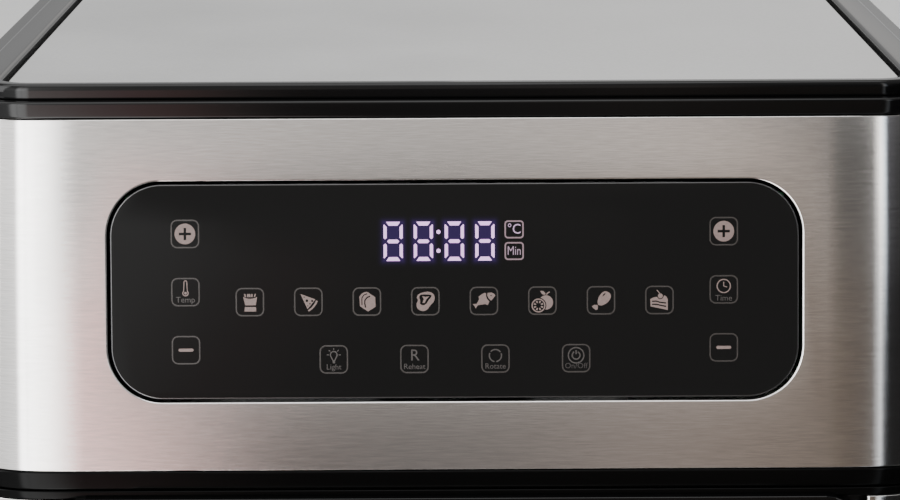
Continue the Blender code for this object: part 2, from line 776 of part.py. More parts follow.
def make_cavity_liner():
    outline = rounded_box(
        (-CAVITY_HALF_WIDTH - SHEET, CAVITY_FLOOR - SHEET),
        (CAVITY_HALF_WIDTH + SHEET, CAVITY_ROOF + SHEET),
        CAVITY_RADIUS + SHEET,
    )
    place = (0.0, LINER_BACK_Y, 0.0)
    liner = tray("cavity_liner", outline, CAVITY_DEPTH, SHEET, LINER_STEEL, place, FACE_FRONT)
    wall_x = CAVITY_HALF_WIDTH + SHEET / 2
    rods = [
        ((0.0, CAVITY_MIDDLE_Y, CAVITY_ROOF), SHAFT_HOLE, THROUGH, "Z"),
        ((wall_x, CAVITY_MIDDLE_Y, SPIT_Z), SOCKET_HOLE, THROUGH, "X"),
        ((wall_x, LAMP_Y, LAMP_Z), LAMP_HOLE, THROUGH, "X"),
        ((-wall_x, SENSOR_Y, SENSOR_Z), SENSOR_RADIUS + GAP, THROUGH, "X"),
    ]
    span = (LINER_BACK_Y - THROUGH / 2, LINER_BACK_Y + THROUGH / 2)
    blocks = slot_blocks(0.0, 2, DUCT_LOW + SLOT_RISE, DUCT_ROWS, *span)
    boolean(liner, cutter_object("liner_openings", blocks, rods))


SPIT_WINDOW_Y = 0.022
SPIT_WINDOW_LOW = 0.022
SPIT_WINDOW_HIGH = 0.020
RAIL_RISE = 0.022


def make_rack_rails():
    """A pressed side rail with a ledge for each rack level, open round the spit's end."""
    base_z = CAVITY_FLOOR + RAIL_RISE
    inner_x = CAVITY_HALF_WIDTH - GAP - RAIL_PLATE
    ledge_x = inner_x - RAIL_LEDGE
    for side, sign in SIDES:
        outline = [(CAVITY_HALF_WIDTH - GAP, base_z), (CAVITY_HALF_WIDTH - GAP, base_z + RAIL_HEIGHT)]
        outline.append((inner_x, base_z + RAIL_HEIGHT))
        for level in reversed(RAIL_LEVELS):
            high = CAVITY_FLOOR + level
            outline.append((inner_x, high))
            outline.append((ledge_x, high))
            outline.append((ledge_x, high - RAIL_PLATE))
            outline.append((inner_x, high - RAIL_PLATE))
        outline.append((inner_x, base_z))
        if sign < 0:
            outline = mirrored(outline)
        place = (0.0, CAVITY_MIDDLE_Y, 0.0)
        rail = plate("rack_rail_" + side, [outline], RAIL_DEPTH, LINER_STEEL, place, FACE_FRONT)
        reach = (inner_x - THROUGH / 4, CAVITY_HALF_WIDTH + THROUGH / 4)
        low_x, high_x = sorted(sign * x for x in reach)
        low = (low_x, CAVITY_MIDDLE_Y - SPIT_WINDOW_Y, SPIT_Z - SPIT_WINDOW_LOW)
        high = (high_x, CAVITY_MIDDLE_Y + SPIT_WINDOW_Y, SPIT_Z + SPIT_WINDOW_HIGH)
        boolean(rail, cutter_object(f"rail_window_{side}", [(low, high)]))


RACK_HALF_WIDTH = CAVITY_HALF_WIDTH - GAP - RAIL_PLATE - SIDE_PLAY
RACK_DEPTH = CAVITY_DEPTH - 0.017
RACK_CORNER = 0.010


def make_wire_rack():
    """The grid of the rack: bars that run front to back, crossed by three stiffening bars."""
    z = CAVITY_FLOOR + RAIL_LEVELS[0] + GAP + RACK_THICKNESS / 2
    outlines = [centred_box(2 * RACK_HALF_WIDTH, RACK_DEPTH, RACK_CORNER, 3)]
    half_width = RACK_HALF_WIDTH - RACK_BAR
    count = int(2 * half_width / RACK_PITCH)
    pitch = 2 * half_width / count
    bays = 2
    bay_depth = (RACK_DEPTH - RACK_BAR) / bays
    for column in range(count):
        x = -half_width + (column + 0.5) * pitch
        for bay in range(bays):
            y = (bay - (bays - 1) / 2) * bay_depth
            half = (pitch / 2 - RACK_BAR / 2, bay_depth / 2 - RACK_BAR / 2)
            low = (x - half[0], y - half[1])
            high = (x + half[0], y + half[1])
            outlines.append([low, (high[0], low[1]), high, (low[0], high[1])])
    plate("wire_rack", outlines, RACK_THICKNESS, CHROMED, (0.0, CAVITY_MIDDLE_Y, z))


def make_drip_pan():
    half = CAVITY_HALF_WIDTH - CAVITY_RADIUS
    outline = centred_box(2 * half, RACK_DEPTH, RACK_CORNER, 4)
    z = CAVITY_FLOOR + GAP
    tray("drip_pan", outline, PAN_HEIGHT, SHEET, LINER_STEEL, (0.0, CAVITY_MIDDLE_Y, z))


def make_heater_coil():
    """A spiral of sheathed wire round the fan, with both ends rising to the roof."""
    z = CAVITY_ROOF - COIL_DROP
    points_per_turn = 24
    total = COIL_TURNS * points_per_turn
    points = []
    for index in range(total + 1):
        angle = 2 * pi * index / points_per_turn
        radius = COIL_RADIUS + COIL_PITCH * index / points_per_turn
        place = (radius * sin(angle), CAVITY_MIDDLE_Y + radius * cos(angle), z)
        points.append(place)
    tail = (0.0, 0.0, COIL_DROP - COIL_WIRE - COIL_END_GAP)
    first = tuple(Vector(points[0]) + Vector(tail))
    last = tuple(Vector(points[-1]) + Vector(tail))
    tube("heater_coil", [first, *points, last], COIL_WIRE, HEATER, resolution=1)


GUARD_RING = 0.004
GUARD_SPOKES = 6
GUARD_RINGS = 4
GUARD_LIP = 0.006
GUARD_MIDDLE = 0.010


def circle(radius, steps):
    return [(radius * cos(2 * pi * i / steps), radius * sin(2 * pi * i / steps)) for i in range(steps)]


def sector(inner, outer, start, stop, steps):
    """The outline of a ring sector."""
    angles = [start + (stop - start) * step / steps for step in range(steps + 1)]
    outline = [(outer * cos(angle), outer * sin(angle)) for angle in angles]
    outline += [(inner * cos(angle), inner * sin(angle)) for angle in reversed(angles)]
    return outline


def make_heater_guard():
    """A round grille below the fan and heater, of rings and spokes."""
    z = CAVITY_ROOF - GUARD_DROP
    rim = GUARD_RADIUS - GUARD_LIP
    outlines = [circle(GUARD_RADIUS, 48)]
    pitch = rim / GUARD_RINGS
    for ring in range(GUARD_RINGS):
        inner = ring * pitch + (GUARD_RING / 2 if ring else GUARD_MIDDLE)
        outer = (ring + 1) * pitch - GUARD_RING / 2
        middle = (inner + outer) / 2
        half_spoke = GUARD_RING / 2 / middle
        for spoke in range(GUARD_SPOKES):
            start = 2 * pi * spoke / GUARD_SPOKES + half_spoke
            stop = 2 * pi * (spoke + 1) / GUARD_SPOKES - half_spoke
            outlines.append(sector(inner, outer, start, stop, 2 + ring // 2))
    place = (0.0, CAVITY_MIDDLE_Y, z)
    plate("heater_guard", outlines, GUARD_THICKNESS, CHROMED, place)


def make_lamp():
    """The lamp in its holder outside the chamber wall, and its glass cover inside."""
    outer_x = CAVITY_HALF_WIDTH + SHEET + GAP
    profile = (
        (0.0, outer_x + LAMP_LENGTH),
        (LAMP_HOLE, outer_x + LAMP_LENGTH),
        (LAMP_HOLE, outer_x + LAMP_FLANGE_DEPTH),
        (LAMP_FLANGE_RADIUS, outer_x + LAMP_FLANGE_DEPTH),
        (LAMP_FLANGE_RADIUS, outer_x),
        (0.0, outer_x),
    )
    turned("oven_lamp", profile, WHITE_PLASTIC, (0.0, LAMP_Y, LAMP_Z), "X")
    inner_x = CAVITY_HALF_WIDTH - GAP
    profile = (
        (0.0, inner_x),
        (LAMP_COVER_RADIUS, inner_x),
        (LAMP_COVER_RADIUS, inner_x - LAMP_COVER_DEPTH / 3),
        (LAMP_COVER_RADIUS - 0.7 * LAMP_COVER_DEPTH, inner_x - 0.85 * LAMP_COVER_DEPTH),
        (0.0, inner_x - LAMP_COVER_DEPTH),
    )
    turned("lamp_cover", profile, CLEAR, (0.0, LAMP_Y, LAMP_Z), "X")


def make_temperature_sensor():
    outer_x = CAVITY_HALF_WIDTH + SHEET + GAP
    tip = CAVITY_HALF_WIDTH - SENSOR_REACH
    profile = (
        (0.0, outer_x + SENSOR_TAIL_LENGTH),
        (SENSOR_TAIL_RADIUS, outer_x + SENSOR_TAIL_LENGTH),
        (SENSOR_TAIL_RADIUS, outer_x + SENSOR_NUT_DEPTH),
        (SENSOR_NUT_RADIUS, outer_x + SENSOR_NUT_DEPTH),
        (SENSOR_NUT_RADIUS, outer_x),
        (SENSOR_RADIUS, outer_x),
        (SENSOR_RADIUS, tip + SENSOR_RADIUS),
        (0.0, tip),
    )
    probe = turned("temperature_sensor", profile, CHROMED, (0.0, SENSOR_Y, SENSOR_Z), "X", 16)
    probe.rotation_euler = (0.0, -pi / 2, 0.0)


def make_exhaust_duct():
    """A short duct from the chamber's rear wall to the back cover."""
    half = DUCT_HALF_WIDTH
    outer = rounded_box((-half, DUCT_LOW), (half, DUCT_HIGH), DUCT_RADIUS, None, 2)
    low = (-half + SHEET, DUCT_LOW + SHEET)
    inner = rounded_box(low, (half - SHEET, DUCT_HIGH - SHEET), DUCT_RADIUS - SHEET, None, 2)
    front = LINER_BACK_Y + GAP
    back = BACK_Y - SHEET - GAP
    place = (0.0, (front + back) / 2, 0.0)
    plate("exhaust_duct", [outer, inner], back - front, LINER_STEEL, place, FACE_FRONT)


# ---------------------------------------------------------------- fan drive
def make_motor_bracket():
    outline = centred_box(BRACKET_SIZE, BRACKET_SIZE, BRACKET_CORNER, 2)
    place = (0.0, CAVITY_MIDDLE_Y, BRACKET_TOP)
    bracket = tray(
        "motor_bracket", outline, BRACKET_HEIGHT, SHEET, MOTOR_STEEL, place, (pi, 0.0, 0.0)
    )
    hole = ((0.0, CAVITY_MIDDLE_Y, BRACKET_TOP), SHAFT_HOLE, THROUGH, "Z")
    boolean(bracket, cutter_object("bracket_hole", rods=[hole]))


def make_convection_motor():
    bore = SHAFT_RADIUS + SHAFT_RUNNING_GAP
    low = BRACKET_TOP + GAP
    step = MOTOR_SHOULDER
    profile = (
        (bore, MOTOR_TOP),
        (MOTOR_BOSS_RADIUS, MOTOR_TOP),
        (MOTOR_BOSS_RADIUS, MOTOR_TOP - step),
        (MOTOR_RADIUS - step, MOTOR_TOP - step),
        (MOTOR_RADIUS, MOTOR_TOP - 2 * step),
        (MOTOR_RADIUS, low),
        (bore, low),
    )
    turned(
        "convection_motor", profile, MOTOR_STEEL, (0.0, CAVITY_MIDDLE_Y, 0.0), "Z", 24, True
    )


def make_fan_shaft():
    low = FAN_TOP - FAN_BLADE_HEIGHT
    high = COOLING_FAN_TOP + SHAFT_END
    middle = (low + high) / 2
    rod("fan_shaft", (0.0, CAVITY_MIDDLE_Y, middle), SHAFT_RADIUS, high - low, "Z", CHROMED, 16)


def make_fan(name, radius, top, blade_height, blades, skin):
    """A disc with a bored hub and blades below it that lean from the radial direction."""
    bore = SHAFT_RADIUS + GAP
    hub_low = top - FAN_DISC - FAN_HUB_LENGTH
    profile = (
        (bore, top),
        (radius, top),
        (radius, top - FAN_DISC),
        (FAN_HUB_RADIUS, top - FAN_DISC),
        (FAN_HUB_RADIUS, hub_low),
        (bore, hub_low),
    )
    fan = turned(name, profile, skin, (0.0, CAVITY_MIDDLE_Y, 0.0), "Z", 32, True)
    geometry = bmesh.new()
    inner = 0.4 * radius
    outer = radius - FAN_RIM
    lean = Matrix.Rotation(FAN_BLADE_LEAN, 4, "Z")
    shift = Matrix.Translation(Vector(((inner + outer) / 2, 0.0, 0.0)))
    size = Matrix.Diagonal((outer - inner, FAN_DISC, blade_height, 1.0))
    middle_z = top - FAN_DISC / 2 - blade_height / 2
    rise = Matrix.Translation(Vector((0.0, CAVITY_MIDDLE_Y, middle_z)))
    for index in range(blades):
        turn = Matrix.Rotation(2 * pi * index / blades, 4, "Z")
        bmesh.ops.create_cube(geometry, size=1.0, matrix=rise @ turn @ shift @ lean @ size)
    union = hide_cutter(mesh_object(name + "_blades", geometry, None, CUTTERS))
    boolean(fan, union, "UNION")


def make_fans():
    make_fan("convection_fan", FAN_RADIUS, FAN_TOP, FAN_BLADE_HEIGHT, FAN_BLADES, ALUMINIUM)
    radius = COOLING_FAN_RADIUS
    top = COOLING_FAN_TOP
    make_fan("cooling_fan", radius, top, COOLING_BLADE_HEIGHT, COOLING_BLADES, MATTE_BLACK)


# ---------------------------------------------------------------- spit drive
def make_spit():
    """The turning spit: its shaft, two forks and the drive socket on the motor's output."""
    left = -CAVITY_HALF_WIDTH + SPIT_END_GAP
    right = SOCKET_END - SOCKET_FLOOR
    middle = ((left + right) / 2, CAVITY_MIDDLE_Y, SPIT_Z)
    rod("spit_shaft", middle, SPIT_RADIUS, right - left, "X", CHROMED, 16)
    depth = right + GAP
    stub_end = SOCKET_END + STUB_LENGTH
    profile = (
        (0.0, stub_end),
        (STUB_RADIUS, stub_end),
        (STUB_RADIUS, SOCKET_END),
        (SOCKET_RADIUS, SOCKET_END),
        (SOCKET_RADIUS, SOCKET_MOUTH),
        (SPIT_RADIUS + GAP, SOCKET_MOUTH),
        (SPIT_RADIUS + GAP, depth),
        (0.0, depth),
    )
    turned("drive_socket", profile, CHROMED, (0.0, CAVITY_MIDDLE_Y, SPIT_Z), "X", 16)
    for side, sign in SIDES:
        make_fork("spit_fork_" + side, sign)


def make_fork(name, sign):
    """A clamping hub with two prongs that point towards the middle of the spit."""
    x = sign * FORK_OFFSET
    profile = (
        (SPIT_RADIUS + GAP, FORK_HUB_HALF),
        (FORK_HUB_RADIUS, FORK_HUB_HALF),
        (FORK_HUB_RADIUS, -FORK_HUB_HALF),
        (SPIT_RADIUS + GAP, -FORK_HUB_HALF),
    )
    fork = turned(name, profile, CHROMED, (x, CAVITY_MIDDLE_Y, SPIT_Z), "X", 16, True)
    geometry = bmesh.new()
    for way in (1, -1):
        arm_y = CAVITY_MIDDLE_Y + way * FORK_REACH
        near_y = CAVITY_MIDDLE_Y + way * (FORK_HUB_RADIUS + SPIT_RADIUS) / 2
        low_y, high_y = sorted((near_y, arm_y + way * FORK_WIRE))
        low = (x - FORK_WIRE, low_y, SPIT_Z - FORK_WIRE)
        add_block(geometry, low, (x + FORK_WIRE, high_y, SPIT_Z + FORK_WIRE))
    arms = hide_cutter(mesh_object(name + "_arms", geometry, None, CUTTERS))
    boolean(fork, arms, "UNION")
    geometry = bmesh.new()
    for way in (1, -1):
        arm_y = CAVITY_MIDDLE_Y + way * FORK_REACH
        ends = sorted((x, x - sign * FORK_PRONG))
        middle = ((ends[0] + ends[1]) / 2, arm_y, SPIT_Z)
        add_rod(geometry, middle, 0.8 * FORK_WIRE, FORK_PRONG, "X", 8)
    prongs = hide_cutter(mesh_object(name + "_prongs", geometry, None, CUTTERS))
    boolean(fork, prongs, "UNION")


SPIT_MOTOR_DEPTH = 0.034
SPIT_MOTOR_HALF = 0.026
SOCKET_PLAY = 0.001
EDGE_BEVEL = 0.002
BRACKET_THICKNESS = 0.004
BRACKET_HALF = 0.010
BRACKET_BELOW_SPIT = 0.016
BRACKET_ABOVE_SPIT = 0.012


def make_rotisserie_motor():
    """The gear motor on the chamber's right wall, bored for the drive socket's stub."""
    low_x = CAVITY_HALF_WIDTH + SHEET + GAP
    high_x = low_x + SPIT_MOTOR_DEPTH
    half = SPIT_MOTOR_HALF
    low = (low_x, CAVITY_MIDDLE_Y - half, SPIT_Z - half)
    high = (high_x, CAVITY_MIDDLE_Y + half, SPIT_Z + half)
    motor = block("rotisserie_motor", low, high, MOTOR_STEEL, EDGE_BEVEL, 1)
    floor_x = SOCKET_END + SOCKET_PLAY
    length = floor_x - SOCKET_MOUTH
    middle = ((SOCKET_MOUTH + floor_x) / 2, CAVITY_MIDDLE_Y, SPIT_Z)
    boolean(motor, cutter_object("socket_bore", rods=[(middle, SOCKET_RADIUS + SOCKET_PLAY, length, "X")]))
    length = STUB_LENGTH + 2 * SOCKET_PLAY
    middle = (SOCKET_END + length / 2, CAVITY_MIDDLE_Y, SPIT_Z)
    boolean(motor, cutter_object("stub_bore", rods=[(middle, STUB_RADIUS + GAP, length, "X")]))


def make_spit_bracket():
    """The plate on the left wall whose notch carries the spit's free end."""
    low_x = -CAVITY_HALF_WIDTH + GAP
    notch = SPIT_RADIUS + GAP
    low_z = SPIT_Z - BRACKET_BELOW_SPIT
    high_z = SPIT_Z + BRACKET_ABOVE_SPIT
    outline = [
        (CAVITY_MIDDLE_Y - BRACKET_HALF, low_z),
        (CAVITY_MIDDLE_Y + BRACKET_HALF, low_z),
        (CAVITY_MIDDLE_Y + BRACKET_HALF, high_z),
        (CAVITY_MIDDLE_Y + notch, high_z),
    ]
    for step in range(9):
        angle = -pi * step / 8
        outline.append((CAVITY_MIDDLE_Y + notch * cos(angle), SPIT_Z + notch * sin(angle)))
    outline.append((CAVITY_MIDDLE_Y - notch, high_z))
    outline.append((CAVITY_MIDDLE_Y - BRACKET_HALF, high_z))
    turn = (pi / 2, 0.0, pi / 2)
    place = (low_x + BRACKET_THICKNESS / 2, 0.0, 0.0)
    plate("spit_bracket", [outline], BRACKET_THICKNESS, CHROMED, place, turn)


# ---------------------------------------------------------------- electrics
SWITCH_X = DOOR_HALF_WIDTH - 0.034
PLUNGER_RADIUS = 0.0012
PLUNGER_PLAY = 0.0004
PLUNGER_DROP = 0.0035
PLUNGER_Z = DOOR_TOP - PLUNGER_DROP
PLUNGER_LENGTH = 0.012
SWITCH_HALF_WIDTH = 0.010
SWITCH_DEPTH = 0.018
TRANSFORMER_SIZE = (0.036, 0.034, 0.030)
CUTOUT_PLACE = (-0.085, 0.060, 0.0)
CUTOUT_RADIUS = 0.006
CUTOUT_FLANGE_RADIUS = 0.008
CUTOUT_FLANGE_HEIGHT = 0.005
CUTOUT_HEIGHT = 0.010
CARRIER_LOW = (HALF_WIDTH - 0.104, -0.030)
CARRIER_HIGH = (HALF_WIDTH - 0.020, 0.080)
CARRIER_HEIGHT = 0.020
CARRIER_WALL = 0.0015


def make_door_switch():
    low = (SWITCH_X - SWITCH_HALF_WIDTH, FRAME_BACK_Y + GAP, LINER_TOP + GAP)
    high = (SWITCH_X + SWITCH_HALF_WIDTH, FRAME_BACK_Y + SWITCH_DEPTH, CASING_TOP - GAP)
    switch = block("door_switch", low, high, MATTE_BLACK)
    length = 2 * PLUNGER_LENGTH
    bore = ((SWITCH_X, FRAME_BACK_Y, PLUNGER_Z), PLUNGER_RADIUS + PLUNGER_PLAY, length, "Y")
    boolean(switch, cutter_object("switch_bore", rods=[bore]))
    front = DOOR_BACK_Y + GAP
    middle = (SWITCH_X, front + PLUNGER_LENGTH / 2, PLUNGER_Z)
    rod("switch_plunger", middle, PLUNGER_RADIUS, PLUNGER_LENGTH, "Y", WHITE_PLASTIC, 12)


def make_board_carrier():
    """A plastic tray on the chamber's roof that holds the power board and its transformer."""
    outline = rounded_box(CARRIER_LOW, CARRIER_HIGH, SMALL_RADIUS, None, 2)
    low = LINER_TOP + GAP
    tray("board_carrier", outline, CARRIER_HEIGHT, CARRIER_WALL, WHITE_PLASTIC, (0.0, 0.0, low))
    board_low = low + CARRIER_HEIGHT + GAP
    place = (0.0, 0.0, board_low + BOARD_THICKNESS / 2)
    plate("power_board", [outline], BOARD_THICKNESS, BOARD, place)
    base = board_low + BOARD_THICKNESS + GAP
    middle_x = (CARRIER_LOW[0] + CARRIER_HIGH[0]) / 2
    width, depth, height = TRANSFORMER_SIZE
    low_corner = (middle_x - width / 2, 0.0, base)
    high_corner = (middle_x + width / 2, depth, base + height)
    block("transformer", low_corner, high_corner, COPPER, EDGE_BEVEL, 1)


def make_thermal_cutout():
    low = LINER_TOP + GAP
    top = low + CUTOUT_HEIGHT
    flange_top = low + CUTOUT_FLANGE_HEIGHT
    profile = (
        (0.0, top),
        (CUTOUT_RADIUS, top),
        (CUTOUT_RADIUS, flange_top),
        (CUTOUT_FLANGE_RADIUS, flange_top),
        (CUTOUT_FLANGE_RADIUS, low),
        (0.0, low),
    )
    turned("thermal_cutout", profile, WHITE_PLASTIC, CUTOUT_PLACE, "Z", 16)


# ---------------------------------------------------------------- door
GLASS_LOW = DOOR_BOTTOM + DOOR_GLASS_MARGIN
GLASS_HIGH = DOOR_TOP - DOOR_HEAD
GLASS_HALF = DOOR_HALF_WIDTH - DOOR_GLASS_MARGIN
POCKET_DEPTH = GLASS_THICKNESS + GAP
POCKET_RADIUS = 0.006
WINDOW_RADIUS = 0.008
INNER_GLASS_LAP = 0.004
CUT_REACH = 0.010


def door_outline(inset, radius, steps=ARC_STEPS):
    half = DOOR_HALF_WIDTH - inset
    return rounded_box((-half, DOOR_BOTTOM + inset), (half, DOOR_TOP - inset), radius, None, steps)


def glass_outline(margin, radius, steps=4):
    half = GLASS_HALF - margin
    return rounded_box((-half, GLASS_LOW + margin), (half, GLASS_HIGH - margin), radius, None, steps)


def upright_plate(name, outlines, front_y, thickness, skin, collection=None):
    """A plate that stands in the XZ plane with its front face at the given Y."""
    place = (0.0, front_y + thickness / 2, 0.0)
    return plate(name, outlines, thickness, skin, place, FACE_FRONT, collection)


def make_door_frame():
    frame = upright_plate(
        "door_frame", [door_outline(0.0, DOOR_CORNER)], DOOR_FACE_Y, DOOR_FRAME_THICKNESS, GLOSS_BLACK
    )
    round_edges(frame, DOOR_EDGE_ROUND, 3)
    pocket = upright_plate(
        "glass_pocket",
        [glass_outline(0.0, POCKET_RADIUS)],
        DOOR_FACE_Y - CUT_REACH,
        CUT_REACH + POCKET_DEPTH,
        None,
        CUTTERS,
    )
    boolean(frame, hide_cutter(pocket))
    window = upright_plate(
        "window_opening",
        [glass_outline(WINDOW_MARGIN, WINDOW_RADIUS)],
        DOOR_FACE_Y - CUT_REACH,
        3 * CUT_REACH,
        None,
        CUTTERS,
    )
    boolean(frame, hide_cutter(window))
    holes = []
    for _side, sign in SIDES:
        middle = (sign * DOOR_HALF_WIDTH, HINGE_Y, HINGE_Z)
        holes.append((middle, PIN_RADIUS + GAP, 2 * PIN_SEAT, "X"))
    boolean(frame, cutter_object("door_pin_bores", rods=holes))


def make_door_glass():
    outer = glass_outline(PANEL_CLEARANCE, POCKET_RADIUS - PANEL_CLEARANCE)
    upright_plate("door_glass_outer", [outer], DOOR_FACE_Y, GLASS_THICKNESS, CLEAR)
    inner_y = DOOR_FACE_Y + DOOR_FRAME_THICKNESS + GAP
    inner = glass_outline(WINDOW_MARGIN - INNER_GLASS_LAP, WINDOW_RADIUS)
    upright_plate("door_glass_inner", [inner], inner_y, GLASS_THICKNESS, CLEAR)


def make_door_inner_frame():
    """The steel back of the door, pocketed for the inner glass."""
    front = DOOR_FACE_Y + DOOR_FRAME_THICKNESS + GAP
    outline = door_outline(INNER_FRAME_INSET, DOOR_CORNER - INNER_FRAME_INSET, 3)
    window = glass_outline(WINDOW_MARGIN, WINDOW_RADIUS)
    name = "door_inner_frame"
    frame = upright_plate(name, [outline, window], front, INNER_FRAME_THICKNESS, LINER_STEEL)
    pocket = upright_plate(
        "inner_glass_pocket",
        [glass_outline(WINDOW_MARGIN - INNER_GLASS_LAP - GAP, WINDOW_RADIUS)],
        front - CUT_REACH,
        CUT_REACH + POCKET_DEPTH,
        None,
        CUTTERS,
    )
    boolean(frame, hide_cutter(pocket))


def make_door_seal():
    def ring(margin, radius):
        low = (-CAVITY_HALF_WIDTH - margin, CAVITY_FLOOR - margin)
        high = (CAVITY_HALF_WIDTH + margin, CAVITY_ROOF + margin)
        return rounded_box(low, high, radius)

    inner = ring(SEAL_MARGIN, CAVITY_RADIUS)
    outer = ring(SEAL_MARGIN + SEAL_WIDTH, CAVITY_RADIUS + SEAL_WIDTH)
    front = DOOR_BACK_Y + GAP
    upright_plate("door_seal", [outer, inner], front, SEAL_STAND - 2 * GAP, SILICONE)


def make_door_handle():
    length = 2 * HANDLE_HALF_LENGTH
    bar = rod("door_handle", (0.0, HANDLE_Y, HANDLE_Z), HANDLE_RADIUS, length, "X", BRUSHED, 24)
    round_edges(bar, HANDLE_EDGE, 2)
    front = HANDLE_Y + HANDLE_RADIUS + GAP
    back = DOOR_FACE_Y - GAP
    for side, sign in SIDES:
        middle = (sign * HANDLE_POST_X, (front + back) / 2, HANDLE_Z)
        rod("handle_post_" + side, middle, HANDLE_POST_RADIUS, back - front, "Y", GLOSS_BLACK, 16)


def make_hinges():
    """Pins that stand out of the door's lower corners, and the brackets that hold them."""
    pin_inner = DOOR_HALF_WIDTH - PIN_SEAT + PIN_END_GAP
    bracket_low = RETURN_X + SHEET + GAP
    bracket_high = bracket_low + HINGE_PLATE
    pin_outer = bracket_high + 2 * PIN_END_GAP
    for side, sign in SIDES:
        middle = (sign * (pin_inner + pin_outer) / 2, HINGE_Y, HINGE_Z)
        rod("hinge_pin_" + side, middle, PIN_RADIUS, pin_outer - pin_inner, "X", CHROMED, 16)
        low_x, high_x = sorted((sign * bracket_low, sign * bracket_high))
        low = (low_x, FRONT_Y + SHEET + 2 * PIN_END_GAP, HINGE_Z - HINGE_PLATE_HALF)
        high = (high_x, RECESS_Y - GAP, HINGE_Z + HINGE_PLATE_HALF)
        name = "hinge_bracket_" + side
        bracket = block(name, low, high, MOTOR_STEEL)
        hole = ((middle[0], HINGE_Y, HINGE_Z), PIN_HOLE, 4 * CUT_REACH, "X")
        boolean(bracket, cutter_object(name + "_hole", rods=[hole]))


# ---------------------------------------------------------------- moving groups
MOVING_GROUPS = (
    (
        "door_axis",
        (0.0, HINGE_Y, HINGE_Z),
        (
            "door_frame",
            "door_glass_outer",
            "door_glass_inner",
            "door_inner_frame",
            "door_seal",
            "door_handle",
            "handle_post_left",
            "handle_post_right",
            "hinge_pin_left",
            "hinge_pin_right",
        ),
    ),
    ("fan_axis", (0.0, CAVITY_MIDDLE_Y, FAN_TOP), ("fan_shaft", "convection_fan", "cooling_fan")),
    (
        "spit_axis",
        (0.0, CAVITY_MIDDLE_Y, SPIT_Z),
        ("spit_shaft", "spit_fork_left", "spit_fork_right", "drive_socket"),
    ),
)


def make_axes():
    """An empty on each turning axis, as the parent of the parts that turn about it."""
    for name, place, members in MOVING_GROUPS:
        axis = bpy.data.objects.new(name, None)
        PARTS.objects.link(axis)
        axis.location = place
        bpy.context.view_layer.update()
        for member in members:
            child = bpy.data.objects[member]
            child.parent = axis
            child.matrix_parent_inverse = axis.matrix_world.inverted()


# ---------------------------------------------------------------- assembly
make_base_pan()
make_feet()
make_side_panels()
make_back_cover()
make_cable_gland()
make_divider_ring()
make_control_band()
make_lower_fascia()
make_front_frame()
make_top_trim()
make_top_frame()
make_top_plate()
make_control_panel()
make_display_and_board()
make_cavity_liner()
make_rack_rails()
make_wire_rack()
make_drip_pan()
make_heater_coil()
make_heater_guard()
make_lamp()
make_temperature_sensor()
make_exhaust_duct()
make_motor_bracket()
make_convection_motor()
make_fan_shaft()
make_fans()
make_spit()
make_rotisserie_motor()
make_spit_bracket()
make_door_switch()
make_board_carrier()
make_thermal_cutout()
make_door_frame()
make_door_glass()
make_door_inner_frame()
make_door_seal()
make_door_handle()
make_hinges()
make_axes()
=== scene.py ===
"""The looks of the countertop oven: fine shells, printed touch keys, lit digits, glass, wire and
procedural materials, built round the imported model. Units are metres, front towards -Y."""

import json
from math import acos, atan2, cos, pi, radians, sin

import bmesh
import bpy
from mathutils import Matrix, Vector


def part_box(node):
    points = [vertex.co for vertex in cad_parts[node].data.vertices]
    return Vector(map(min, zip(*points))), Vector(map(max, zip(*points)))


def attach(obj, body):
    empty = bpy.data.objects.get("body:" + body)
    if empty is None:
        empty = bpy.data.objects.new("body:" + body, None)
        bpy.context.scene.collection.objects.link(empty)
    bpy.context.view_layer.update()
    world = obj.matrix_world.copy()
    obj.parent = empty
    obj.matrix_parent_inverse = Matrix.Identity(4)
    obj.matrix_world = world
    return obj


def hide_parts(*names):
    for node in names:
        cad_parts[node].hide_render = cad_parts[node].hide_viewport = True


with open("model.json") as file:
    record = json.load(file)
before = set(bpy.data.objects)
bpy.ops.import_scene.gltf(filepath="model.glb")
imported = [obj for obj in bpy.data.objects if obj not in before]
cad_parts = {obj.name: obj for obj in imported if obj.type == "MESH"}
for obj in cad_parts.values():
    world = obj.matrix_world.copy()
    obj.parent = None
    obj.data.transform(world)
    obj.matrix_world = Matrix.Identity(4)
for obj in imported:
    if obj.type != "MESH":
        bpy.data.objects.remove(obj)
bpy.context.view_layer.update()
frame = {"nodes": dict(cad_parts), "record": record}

MM = 0.001


# ---------------------------------------------------------------- places read from the frame
def low(node):
    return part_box(node)[0]


def high(node):
    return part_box(node)[1]


HALF_WIDTH = high("control_band").x
FRONT_Y = low("divider_ring").y
BACK_Y = high("back_cover").y
CASING_BACK_Y = high("side_panel_right").y
BAND_BOTTOM = low("control_band").z
BAND_TOP = low("top_trim").z - 0.3 * MM
BAND_TOP_Y = low("top_trim").y
LEAN = atan2(BAND_TOP_Y - FRONT_Y, BAND_TOP - BAND_BOTTOM)
CORNER_RADIUS = 31 * MM
REAR_RADIUS = 12 * MM
FINE = 20


# ---------------------------------------------------------------- mesh helpers
def new_object(name, mesh, material=None):
    made = bpy.data.objects.new(name, mesh)
    bpy.context.scene.collection.objects.link(made)
    if material:
        mesh.materials.append(material)
    return made


def from_bmesh(name, geometry, material, sharp=radians(32)):
    """A new smooth-shaded object from a bmesh, with its faces turned outwards."""
    bmesh.ops.recalc_face_normals(geometry, faces=geometry.faces)
    mesh = bpy.data.meshes.new(name)
    geometry.to_mesh(mesh)
    geometry.free()
    mesh.shade_smooth()
    mesh.set_sharp_from_angle(angle=sharp)
    return new_object(name, mesh, material)


